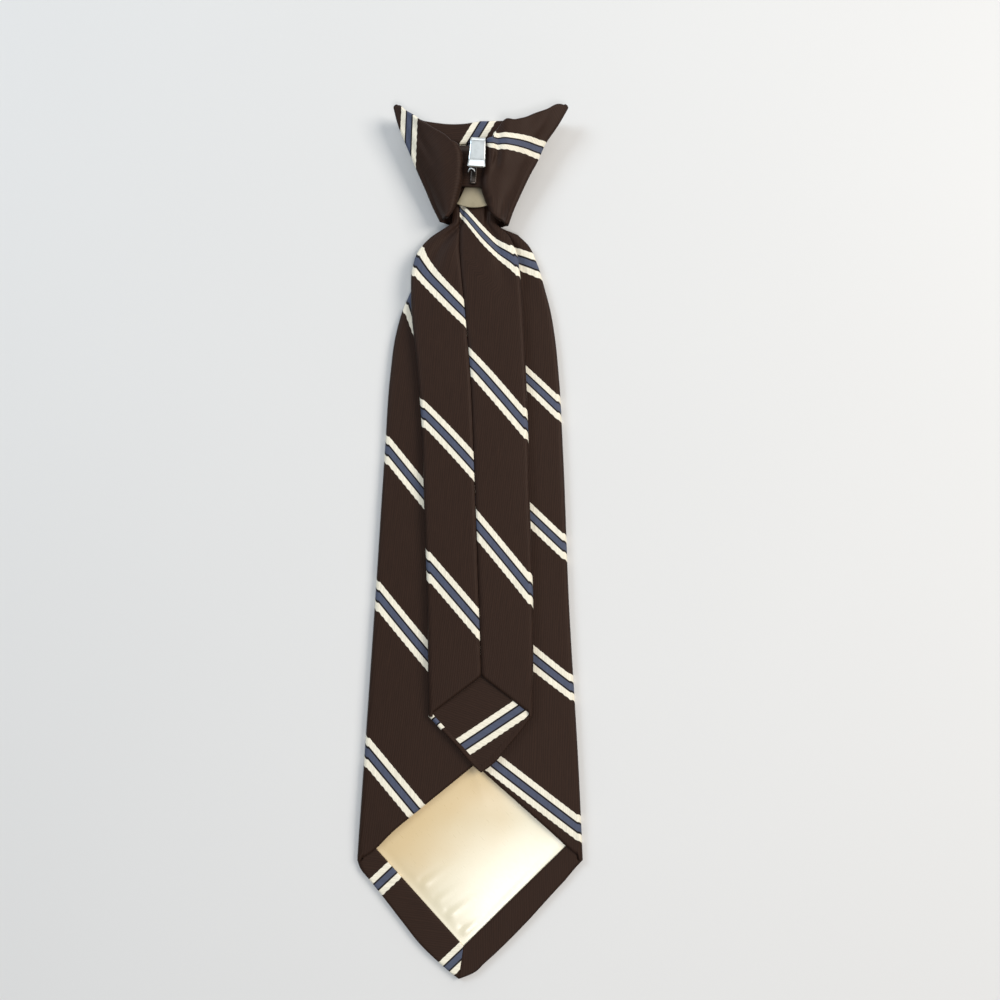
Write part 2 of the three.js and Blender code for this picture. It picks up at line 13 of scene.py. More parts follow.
import bpy
import numpy as np
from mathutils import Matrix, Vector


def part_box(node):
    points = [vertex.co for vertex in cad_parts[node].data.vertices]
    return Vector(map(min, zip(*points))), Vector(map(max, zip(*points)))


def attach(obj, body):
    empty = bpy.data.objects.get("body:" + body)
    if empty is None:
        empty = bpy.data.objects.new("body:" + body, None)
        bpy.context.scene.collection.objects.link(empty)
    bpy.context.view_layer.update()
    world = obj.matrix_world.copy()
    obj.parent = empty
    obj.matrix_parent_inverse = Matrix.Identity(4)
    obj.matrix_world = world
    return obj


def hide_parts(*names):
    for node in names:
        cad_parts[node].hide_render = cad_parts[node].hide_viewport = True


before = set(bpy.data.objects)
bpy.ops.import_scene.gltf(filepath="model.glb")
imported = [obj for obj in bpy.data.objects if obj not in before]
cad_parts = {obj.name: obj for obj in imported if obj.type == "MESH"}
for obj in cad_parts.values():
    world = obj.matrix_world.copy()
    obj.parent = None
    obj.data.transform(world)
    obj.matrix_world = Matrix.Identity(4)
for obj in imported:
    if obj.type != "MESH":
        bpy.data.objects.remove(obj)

Array = np.ndarray
Rows = tuple[tuple[float, ...], ...]
Colour = tuple[float, float, float]

LOG = logging.getLogger("necktie")
METRE = 0.001
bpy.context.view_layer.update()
TIP_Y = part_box("front_blade")[0].y / METRE
WEAVE_MAP = "weave"

CLOTH = 0.6          # one layer of the silk
KNOT_FOOT_Y = 259.0
KNOT_SHIFT = 0.9     # the knot's foot stands right of the blade's middle
LEAN = math.radians(3.3)  # the knot leans clockwise, seen from the back
NECK_Y = 258.0
NECK_LENGTH = 13.0   # how far the blades run on inside the knot
RISE_RUN = 22.0      # stretch over which the blades climb into the knot
RISE = 1.3
REPEAT = 36.9        # from one woven band to the next, square to them
BAND = 7.0           # width of a band
FALL = (0.72, 0.69)  # direction of the bands across and down the blades, close to a unit vector


class Slot(Enum):
    """Material slots of the record."""

    SILK = "striped_silk"
    SATIN = "cream_satin"
    IVORY = "ivory_plastic"
    STEEL = "nickelled_steel"


class Side(Enum):
    """The two sides of a piece, with the sign of X on each."""

    LEFT = -1
    RIGHT = 1

    @property
    def index(self) -> int:
        """Place of this side in a pair of values, 0 or 1."""
        return (self.value + 1) // 2

    @property
    def column(self) -> int:
        """Column of this side in a table whose first column is the place."""
        return self.index + 1


def mix(a: Array | float, b: Array | float, t: Array | float) -> Array | float:
    """Straight blend from a (t = 0) to b (t = 1)."""
    return a + (b - a) * t


def smooth(t: Array | float) -> Array:
    """Smooth step from 0 to 1, flat at both ends."""
    c = np.clip(t, 0.0, 1.0)
    return c * c * (3 - 2 * c)


def hump(x: Array | float, middle: float, spread: float) -> Array:
    """Bell curve of height 1 round a middle."""
    return np.exp(-(((x - middle) / spread) ** 2))


def curve(rows: Rows, column: int, at: Array | float) -> Array:
    """Smooth curve through one column of a table whose first column is the place.

    Between two rows it is a cubic whose slopes at the rows are the table's own
    mean slopes there, and it stays level past both ends.

    Args:
        rows: the table, ordered by its first column.
        column: which column to read.
        at: places to read it at.

    Returns:
        The values at those places.
    """
    table = np.asarray(rows, float)
    place, value = table[:, 0], table[:, column]
    slope = np.gradient(value, place)
    at = np.clip(np.asarray(at, float), place[0], place[-1])
    i = np.clip(np.searchsorted(place, at, side="right") - 1, 0, len(place) - 2)
    run = place[i + 1] - place[i]
    t = (at - place[i]) / run
    return ((2 * t**3 - 3 * t**2 + 1) * value[i] + (t**3 - 2 * t**2 + t) * run * slope[i]
            + (3 * t**2 - 2 * t**3) * value[i + 1] + (t**3 - t**2) * run * slope[i + 1])


def line(at: Array | float, places: tuple[float, ...], values: tuple[float, ...]) -> Array:
    """Straight pieces through points, carried on past both ends.

    Args:
        at: places to read it at.
        places: rising places of the points.
        values: their values.

    Returns:
        The values at those places.
    """
    at = np.asarray(at, float)
    inside = np.interp(at, places, values)
    low = (values[1] - values[0]) / (places[1] - places[0])
    high = (values[-1] - values[-2]) / (places[-1] - places[-2])
    return inside + np.minimum(at - places[0], 0) * low + np.maximum(at - places[-1], 0) * high


def plan(x: Array, y: Array, z: Array) -> Array:
    """Stacks three coordinate arrays into one array of points."""
    return np.stack(np.broadcast_arrays(x, y, z), -1).astype(float)


def woven(phase: Array, along: Array) -> Array:
    """Weave places from a number of repeats across the bands and a place along them."""
    return np.stack(np.broadcast_arrays(phase * REPEAT, along), -1)


def climb(y: Array) -> Array:
    """How far the blades have climbed into the knot, 0 on the table to 1 at the neck."""
    return smooth((y - NECK_Y + RISE_RUN) / RISE_RUN)


@dataclass
class Patch:
    """One grid of cloth or sheet, made into a closed shell of even thickness.

    Rows run along the piece and columns across it, so that row direction times
    column direction points outwards.
    """

    points: Array
    weave: Array
    thick: float
    lowest: float = 0.02           # height that the inner skin stays above

    def normals(self) -> Array:
        """Unit normals of the grid, from its slopes along rows and columns."""
        square = np.cross(np.gradient(self.points, axis=0), np.gradient(self.points, axis=1))
        return square / np.maximum(np.linalg.norm(square, axis=-1, keepdims=True), 1e-9)

    def shell(self) -> tuple[Array, Array, Array, int]:
        """Closes the grid: outer skin, the same skin moved inwards, and a rim.

        Returns:
            Points, four-sided faces, a weave place for each point, and how many
            of the faces are skin and not rim.
        """
        rows, columns = self.points.shape[:2]
        count = rows * columns
        inner = self.points - self.normals() * self.thick
        inner[..., 2] = np.maximum(inner[..., 2], self.lowest)
        points = np.concatenate([self.points.reshape(-1, 3), inner.reshape(-1, 3)])
        ids = np.arange(count).reshape(rows, columns)
        outer = np.stack([ids[:-1, :-1], ids[1:, :-1], ids[1:, 1:], ids[:-1, 1:]], -1).reshape(-1, 4)
        loop = np.concatenate([ids[0, :], ids[1:, -1], ids[-1, -2::-1], ids[-2:0:-1, 0]])
        after = np.roll(loop, -1)
        rim = np.stack([loop, after, after + count, loop + count], -1)
        faces = np.concatenate([outer, outer[:, ::-1] + count, rim])
        weave = np.tile(self.weave.reshape(-1, 2), (2, 1))
        return points, faces, weave, 2 * len(outer)


@dataclass
class Sweep:
    """A closed section carried along a path and capped at both ends.

    Each row of points is one section, going round so that row direction times
    ring direction points outwards.
    """

    points: Array

    def shell(self) -> tuple[Array, list[tuple[int, ...]], Array, int]:
        """Joins the sections into a tube with two caps.

        Returns:
            Points, faces, a weave place for each point, and how many faces are
            skin and not cap.
        """
        rows, ring = self.points.shape[:2]
        ids = np.arange(rows * ring).reshape(rows, ring)
        after = np.roll(ids, -1, axis=1)
        skin = np.stack([ids[:-1], ids[1:], after[1:], after[:-1]], -1).reshape(-1, 4)
        faces = [tuple(f) for f in skin.tolist()]
        faces += [tuple(ids[0].tolist()), tuple(ids[-1, ::-1].tolist())]
        return self.points.reshape(-1, 3), faces, np.zeros((rows * ring, 2)), len(skin)


def build_object(name: str, parts: list[Patch | Sweep], material: bpy.types.Material,
                 nodes: tuple[str, ...]) -> bpy.types.Object:
    """Makes one piece from its grids and gives it to the frame.

    Args:
        name: name of the piece.
        parts: its grids, in millimetres.
        material: its finish.
        nodes: CAD nodes that it stands for.

    Returns:
        The finished object, at the origin.
    """
    points, faces, weave, polished = [], [], [], []
    start = 0
    for part in parts:
        own_points, own_faces, own_weave, skin = part.shell()
        points.append(own_points)
        weave.append(own_weave)
        faces += [tuple(i + start for i in face) for face in own_faces]
        polished += [True] * skin + [False] * (len(own_faces) - skin)
        start += len(own_points)
    mesh = bpy.data.meshes.new(name)
    placed = (np.concatenate(points) + (0.0, TIP_Y, 0.0)) * METRE
    mesh.from_pydata(placed, [], faces)
    mesh.polygons.foreach_set("use_smooth", polished)
    corners = np.empty(len(mesh.loops), int)
    mesh.loops.foreach_get("vertex_index", corners)
    mesh.uv_layers.new(name=WEAVE_MAP).data.foreach_set("uv", np.concatenate(weave)[corners].ravel())
    mesh.materials.append(material)
    mesh.update()
    piece = bpy.data.objects.new(name, mesh)
    bpy.context.scene.collection.objects.link(piece)
    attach(piece, "root")
    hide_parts(*nodes)
    LOG.info("%s: %d faces", name, len(mesh.polygons))
    return piece


# Shading

class Graph:
    """A shader node tree under construction."""

    def __init__(self, tree: bpy.types.NodeTree) -> None:
        """Keeps the tree that nodes are added to."""
        self.tree = tree

    def add(self, kind: str, **settings: object) -> bpy.types.Node:
        """Adds a node of a kind and sets its properties.

        Args:
            kind: Blender's name of the kind.
            settings: properties and their values.

        Returns:
            The new node.
        """
        node = self.tree.nodes.new(kind)
        for key, value in settings.items():
            setattr(node, key, value)
        return node

    def feed(self, socket: bpy.types.NodeSocket, value: object) -> None:
        """Links a socket to another, or sets its own value.

        Args:
            socket: the socket that takes the value.
            value: a socket, or a value of the socket's own kind.
        """
        if isinstance(value, bpy.types.NodeSocket):
            self.tree.links.new(value, socket)
        else:
            socket.default_value = value

    def math(self, operation: str, *values: object) -> bpy.types.NodeSocket:
        """Result of one Math node.

        Args:
            operation: Blender's name of the operation.
            values: sockets or numbers, in the node's order.

        Returns:
            The result.
        """
        node = self.add("ShaderNodeMath", operation=operation)
        for socket, value in zip(node.inputs, values):
            self.feed(socket, value)
        return node.outputs[0]

    def step(self, value: object, low: object, high: object) -> bpy.types.NodeSocket:
        """Smooth step of a value, 0 at low and 1 at high.

        Args:
            value: the value.
            low: where the step starts.
            high: where it ends.

        Returns:
            The step, from 0 to 1.
        """
        node = self.add("ShaderNodeMapRange", interpolation_type="SMOOTHSTEP")
        for name, own in (("Value", value), ("From Min", low), ("From Max", high)):
            self.feed(node.inputs[name], own)
        return node.outputs[0]

    def times(self, a: object, b: object) -> bpy.types.NodeSocket:
        """Product of two values."""
        return self.math("MULTIPLY", a, b)

    def scaled(self, value: object, factor: float, start: object) -> bpy.types.NodeSocket:
        """A value times a factor, added to a start."""
        return self.math("MULTIPLY_ADD", value, factor, start)

    def blend(self, share: object, a: object, b: object) -> bpy.types.NodeSocket:
        """Blend of two colours, sockets or red, green and blue, by a share.

        Args:
            share: 0 for the first, 1 for the second.
            a: the first colour.
            b: the second colour.

        Returns:
            The blended colour.
        """
        node = self.add("ShaderNodeMix", data_type="RGBA")
        self.feed(node.inputs[0], share)
        for place, own in ((6, a), (7, b)):
            self.feed(node.inputs[place], (*own, 1.0) if isinstance(own, tuple) else own)
        return node.outputs[2]

    def noise(self, scale: float, detail: float = 2.0, vector: object = None) -> bpy.types.NodeSocket:
        """Noise value on Object coordinates, or on a vector that is given.

        Args:
            scale: spots in a metre, or in a unit of the vector.
            detail: octaves of finer noise.
            vector: where to read it, if not on the object.

        Returns:
            The noise, about 0.5 in the middle.
        """
        if vector is None:
            vector = self.add("ShaderNodeTexCoord").outputs["Object"]
        node = self.add("ShaderNodeTexNoise")
        self.feed(node.inputs["Vector"], vector)
        node.inputs["Scale"].default_value = scale
        node.inputs["Detail"].default_value = detail
        return node.outputs[0]


def group_tree(name: str, inputs: dict[str, float], outputs: tuple[str, ...]
               ) -> tuple[Graph, bpy.types.NodeOutputs, bpy.types.NodeInputs]:
    """Starts a shader node group with number sockets.

    Args:
        name: the group's name.
        inputs: its inputs with their usual values.
        outputs: names of its outputs.

    Returns:
        The graph, the sockets that come in by name, and the output node's sockets.
    """
    tree = bpy.data.node_groups.new(name, "ShaderNodeTree")
    for key, value in inputs.items():
        socket = tree.interface.new_socket(name=key, in_out="INPUT", socket_type="NodeSocketFloat")
        socket.default_value = value
    for key in outputs:
        tree.interface.new_socket(name=key, in_out="OUTPUT", socket_type="NodeSocketFloat")
    graph = Graph(tree)
    return graph, graph.add("NodeGroupInput").outputs, graph.add("NodeGroupOutput").inputs


def band_group() -> bpy.types.NodeTree:
    """Node group of the woven band: two cream stripes round a blue one, with dark lines.

    The place across is folded into one repeat and measured from the middle of
    the band. The outer edges of the cream stripes step in and out along the
    stripe as their threads float over the ribs.

    Returns:
        The group's tree.
    """
    graph, given, out = group_tree("woven_band", {
        "Across": 0.0, "Along": 0.0, "Repeat": REPEAT, "Width": BAND,
        "Tooth Pitch": 2.2, "Tooth Depth": 0.09, "Edge": 0.1, "Cream From": 0.215, "Blue To": 0.14,
    }, ("Cream", "Blue", "Dark"))
    soft = given["Edge"]
    folded = graph.math("FRACT", graph.math("DIVIDE", graph.times(given["Across"], -1.0), given["Repeat"]))
    half = graph.times(given["Width"], 0.5)
    off = graph.math("ABSOLUTE", graph.math("SUBTRACT", graph.times(folded, given["Repeat"]), half))
    turns = graph.math("DIVIDE", given["Along"], given["Tooth Pitch"])
    wave = graph.math("SINE", graph.times(turns, math.tau))
    outer = graph.scaled(wave, given["Tooth Depth"], half)
    inner = graph.times(given["Width"], given["Cream From"])
    blue = graph.times(given["Width"], given["Blue To"])

    def beyond(edge: bpy.types.NodeSocket) -> bpy.types.NodeSocket:
        """1 outside a distance from the middle of the band, with a soft edge."""
        return graph.step(off, graph.math("SUBTRACT", edge, soft), graph.math("ADD", edge, soft))

    def within(edge: bpy.types.NodeSocket) -> bpy.types.NodeSocket:
        """1 inside a distance from the middle of the band, with a soft edge."""
        return graph.math("SUBTRACT", 1.0, beyond(edge))

    graph.feed(out["Cream"], graph.times(within(outer), beyond(inner)))
    graph.feed(out["Blue"], within(blue))
    graph.feed(out["Dark"], graph.times(beyond(blue), within(inner)))
    return graph.tree


def thread_group() -> bpy.types.NodeTree:
    """Node group of threads: slanting ribs and finer threads across them.

    Height is a sine of the place square to the ribs, with a smaller sine of
    the place along them, and slow unevenness shifts the ribs to and fro.

    Returns:
        The group's tree.
    """
    graph, given, out = group_tree("threads", {
        "Across": 0.0, "Along": 0.0, "Pitch": 0.75, "Slope": 0.9, "Fine": 0.35,
    }, ("Height", "Uneven"))
    cos, sin = graph.math("COSINE", given["Slope"]), graph.math("SINE", given["Slope"])
    u = graph.math("ADD", graph.times(given["Across"], cos), graph.times(given["Along"], sin))
    v = graph.math("SUBTRACT", graph.times(given["Along"], cos), graph.times(given["Across"], sin))
    ribs = graph.math("DIVIDE", u, given["Pitch"])
    place = graph.add("ShaderNodeCombineXYZ")
    graph.feed(place.inputs[0], ribs)
    graph.feed(place.inputs[1], graph.math("DIVIDE", v, graph.times(given["Pitch"], 8.0)))
    wander = graph.times(graph.noise(0.35, 2.0, place.outputs[0]), 1.6)
    rib = graph.math("SINE", graph.times(graph.math("ADD", ribs, wander), math.tau))
    thread = graph.math("SINE", graph.times(graph.math("DIVIDE", v, given["Fine"]), math.tau))
    height = graph.math("ADD", graph.times(rib, 0.36), graph.times(thread, 0.14))
    graph.feed(out["Height"], graph.math("ADD", height, 0.5))
    graph.feed(out["Uneven"], graph.noise(1.0, 3.0, place.outputs[0]))
    return graph.tree


@dataclass(frozen=True)
class Finish:
    """What every finish needs: a name, the start of its material and its relief."""

    name: str

    def start(self) -> tuple[bpy.types.Material, Graph, bpy.types.Node]:
        """New material with its graph and its Principled BSDF.

        Returns:
            The material, its graph and its shader.
        """
        material = bpy.data.materials.new(self.name)
        material.use_nodes = True
        graph = Graph(material.node_tree)
        surface = next(n for n in material.node_tree.nodes if n.type == "BSDF_PRINCIPLED")
        return material, graph, surface

    @staticmethod
    def weave_place(graph: Graph) -> dict[str, bpy.types.NodeSocket]:
        """Places across and along the stripes, from the piece's own map, in millimetres.

        Args:
            graph: the material's graph.

        Returns:
            The two sockets, by the names of the groups' inputs.
        """
        split = graph.add("ShaderNodeSeparateXYZ")
        graph.feed(split.inputs[0], graph.add("ShaderNodeUVMap", uv_map=WEAVE_MAP).outputs[0])
        return {"Across": split.outputs[0], "Along": split.outputs[1]}

    @staticmethod
    def effect(graph: Graph, name: str, **values: object) -> bpy.types.Node:
        """A shared node group with values or sockets for the inputs that are named.

        Args:
            graph: the material's graph.
            name: the group's name.
            values: inputs by name.

        Returns:
            The group's node.
        """
        node = graph.add("ShaderNodeGroup", node_tree=bpy.data.node_groups[name])
        for key, value in values.items():
            graph.feed(node.inputs[key], value)
        return node

    @staticmethod
    def height(graph: Graph) -> bpy.types.NodeSocket:
        """Height above the table, in metres.

        Args:
            graph: the material's graph.

        Returns:
            The height.
        """
        split = graph.add("ShaderNodeSeparateXYZ")
        graph.feed(split.inputs[0], graph.add("ShaderNodeTexCoord").outputs["Object"])
        return split.outputs[2]

    @staticmethod
    def relief(graph: Graph, surface: bpy.types.Node, height: object, depth: float, strength: float) -> None:
        """Feeds a height through a Bump node to a surface, depth in millimetres.

        Args:
            graph: the material's graph.
            surface: its shader.
            height: the height, from 0 to 1.
            depth: how deep a height of 1 is.
            strength: how far the normals follow it.
        """
        bump = graph.add("ShaderNodeBump")
        bump.inputs["Strength"].default_value = strength
        bump.inputs["Distance"].default_value = depth * METRE
        graph.feed(bump.inputs["Height"], height)
        graph.feed(surface.inputs["Normal"], bump.outputs[0])


@dataclass(frozen=True)
class StripedSilk(Finish):
    """Dark brown ribbed silk with woven cream, blue and cream bands."""

    ground: Colour = (0.0170, 0.0076, 0.0045)
    worn: Colour = (0.0300, 0.0142, 0.0086)
    cream: Colour = (0.87, 0.81, 0.66)
    shade: Colour = (0.66, 0.58, 0.43)
    blue: Colour = (0.070, 0.084, 0.128)
    dark: Colour = (0.006, 0.006, 0.008)

    def build(self) -> bpy.types.Material:
        """Makes the material: bands over the ribbed ground, with relief from the threads.

        Returns:
            The material.
        """
        material, graph, surface = self.start()
        place = self.weave_place(graph)
        bands, threads = (self.effect(graph, name, **place) for name in ("woven_band", "threads"))
        height, uneven = threads.outputs["Height"], threads.outputs["Uneven"]
        ground = graph.blend(graph.times(height, 0.75), self.ground, self.worn)
        cream = graph.blend(graph.scaled(height, 0.35, 0.65), self.shade, self.cream)
        colour = graph.blend(bands.outputs["Cream"], ground, cream)
        colour = graph.blend(bands.outputs["Blue"], colour, self.blue)
        colour = graph.blend(bands.outputs["Dark"], colour, self.dark)
        toned = graph.add("ShaderNodeVectorMath", operation="SCALE")
        graph.feed(toned.inputs[0], colour)
        graph.feed(toned.inputs["Scale"], graph.scaled(uneven, 0.5, 0.75))
        graph.feed(surface.inputs["Base Color"], toned.outputs[0])
        rough = graph.scaled(bands.outputs["Cream"], -0.06, 0.50)
        graph.feed(surface.inputs["Roughness"], graph.scaled(uneven, 0.12, rough))
        surface.inputs["Specular IOR Level"].default_value = 0.20
        surface.inputs["Specular Tint"].default_value = (1.0, 0.80, 0.70, 1)
        surface.inputs["Sheen Weight"].default_value = 0.02
        surface.inputs["Sheen Roughness"].default_value = 0.4
        surface.inputs["Sheen Tint"].default_value = (0.75, 0.85, 1.0, 1)
        self.relief(graph, surface, graph.scaled(bands.outputs["Cream"], 0.5, height), 0.06, 0.5)
        return material


@dataclass(frozen=True)
class CreamSatin(Finish):
    """Smooth cream lining satin with a painted sheen that makes it paler near the right hem; away from it the
    satin is darker and yellower.
    """

    # The light colour is a painted sheen near the right hem; the other is the satin away from it.
    light: Colour = (0.80, 0.72, 0.52)
    satin_beyond_sheen: Colour = (0.70, 0.52, 0.27)
    square_to_hem: tuple[float, float] = (-0.683, 0.731)   # away from the right hem
    sheen_fade: tuple[float, float] = (20.0, 50.0)             # places where the painted sheen starts to fade and where it is gone

    def build(self) -> bpy.types.Material:
        """Makes the material: a painted sheen, paler near the right hem, darker and yellower away from it,
        with fine threads.

        Returns:
            The material.
        """
        material, graph, surface = self.start()
        place = self.weave_place(graph)
        threads = self.effect(graph, "threads", Pitch=0.4, Slope=0.75, Fine=0.3, **place)
        # Painted sheen: the colour is paler near the right hem and fades to the darker, yellower satin away
        # from it.
        away = graph.math("ADD", graph.times(place["Across"], self.square_to_hem[0]),
                          graph.times(place["Along"], self.square_to_hem[1]))
        wander = graph.scaled(graph.noise(38.0, 2.0), 24.0, -12.0)
        out_of_sheen = graph.step(graph.math("ADD", away, wander), *self.sheen_fade)
        graph.feed(surface.inputs["Base Color"], graph.blend(out_of_sheen, self.light, self.satin_beyond_sheen))
        graph.feed(surface.inputs["Roughness"], graph.scaled(threads.outputs["Uneven"], 0.10, 0.24))
        surface.inputs["Specular IOR Level"].default_value = 0.9
        surface.inputs["Sheen Weight"].default_value = 0.1
        self.relief(graph, surface, threads.outputs["Height"], 0.01, 0.08)
        return material


@dataclass(frozen=True)
class IvoryPlastic(Finish):
    """Moulded ivory plastic with faint flow marks and scuffs."""

    body: Colour = (0.33, 0.275, 0.175)
    scuffed: Colour = (0.27, 0.225, 0.14)
    # Colour of the painted shade at the plate's low inner end, tucked in under the clip.
    inner_shade: Colour = (0.10, 0.08, 0.05)
    shade_below: float = 9.0        # height under which the plate is darkened with painted shade, at the inner end
    shade_fade: float = 0.65

    def build(self) -> bpy.types.Material:
        """Makes the material: cloudy ageing, painted shade at the low inner end and scuffs in the gloss.

        Returns:
            The material.
        """
        material, graph, surface = self.start()
        cloud = graph.step(graph.noise(260.0, 4.0), 0.4, 0.75)
        # Painted shade: the plate darkens below a height, at its inner end.
        unshaded = graph.step(self.height(graph), (self.shade_below - self.shade_fade) * METRE,
                           self.shade_below * METRE)
        plastic = graph.blend(cloud, self.body, self.scuffed)
        graph.feed(surface.inputs["Base Color"], graph.blend(unshaded, self.inner_shade, plastic))
        scuff = graph.noise(1800.0, 3.0)
        graph.feed(surface.inputs["Roughness"], graph.scaled(scuff, 0.25, 0.30))
        self.relief(graph, surface, scuff, 0.02, 0.3)
        return material


@dataclass(frozen=True)
class NickelledSteel(Finish):
    """Nickel plated spring strip, drawn along its length; its low stem is darkened with painted shade."""

    plate: Colour = (0.74, 0.76, 0.74)
    dull: Colour = (0.66, 0.68, 0.66)
    # Colour of the painted shade on the low stem, in the hollow under the clip's leg.
    stem_shade: Colour = (0.085, 0.07, 0.06)
    stem_shade_from: float = 10.05    # height below which the strip is darkened with painted shade
    stem_shade_fade: float = 0.3
    drawn: tuple[float, float, float] = (6000.0, 300.0, 6000.0)   # scale of the scratches, long along Y

    def build(self) -> bpy.types.Material:
        """Makes the material: long fine scratches along the strip, and painted shade low down.

        Returns:
            The material.
        """
        material, graph, surface = self.start()
        stretch = graph.add("ShaderNodeMapping")
        graph.feed(stretch.inputs[0], graph.add("ShaderNodeTexCoord").outputs["Object"])
        stretch.inputs["Scale"].default_value = self.drawn
        scratch = graph.noise(1.0, 3.0, stretch.outputs[0])
        # Painted shade: the strip darkens below a height, on its stem.
        unshaded = graph.step(self.height(graph), self.stem_shade_from * METRE,
                           (self.stem_shade_from + self.stem_shade_fade) * METRE)
        plate = graph.blend(graph.step(graph.noise(420.0, 2.0), 0.4, 0.7), self.plate, self.dull)
        graph.feed(surface.inputs["Base Color"], graph.blend(unshaded, self.stem_shade, plate))
        surface.inputs["Metallic"].default_value = 1.0
        graph.feed(surface.inputs["Roughness"], graph.scaled(scratch, 0.10, 0.27))
        self.relief(graph, surface, scratch, 0.004, 0.2)
        return material


@dataclass(frozen=True)
class PaleFloor(Finish):
    """Plain matt floor, a little cloudy."""

    colour: Colour = (0.70, 0.685, 0.66)
    lighter: float = 1.03

    def build(self) -> bpy.types.Material:
        """Makes the material: a slow blend between the colour and a lighter one.

        Returns:
            The material.
        """
        material, graph, surface = self.start()
        light = tuple(c * self.lighter for c in self.colour)
        tone = graph.step(graph.noise(3.0, 3.0), 0.2, 0.8)
        graph.feed(surface.inputs["Base Color"], graph.blend(tone, self.colour, light))
        surface.inputs["Roughness"].default_value = 0.7
        return material


@dataclass(frozen=True)
class StripeRun:
    """Where the woven bands meet one side edge of a blade."""

    crossings: tuple[float, ...]   # heights of the bands' upper edges on the side edge
    first: int                     # number of the first of them
    slopes: Rows                   # height, fall of the bands there for each step across

    def phase(self, y: Array, inwards: Array, falling: int) -> Array:
        """Number of repeats at a height, some way in from the edge.

        The band is followed back out to the side edge along its own slope, and
        the count is read there.

        Args:
            y: heights.
            inwards: distances in from the edge.
            falling: 1 where the band falls inwards, -1 where it rises.

        Returns:
            Repeats, whole at the upper edge of a band.
        """
        table = np.asarray(self.slopes)
        slope = np.interp(y, table[:, 0], table[:, 1])
        numbers = tuple(float(self.first + i) for i in range(len(self.crossings)))
        return line(y + falling * slope * inwards, self.crossings, numbers)


@dataclass(frozen=True)
class Gather:
    """One fold that runs down from the neck of a blade."""

    across: float    # place at the neck, as a share of half the width
    below: float     # place at its lower end
    depth: float
    spread: float


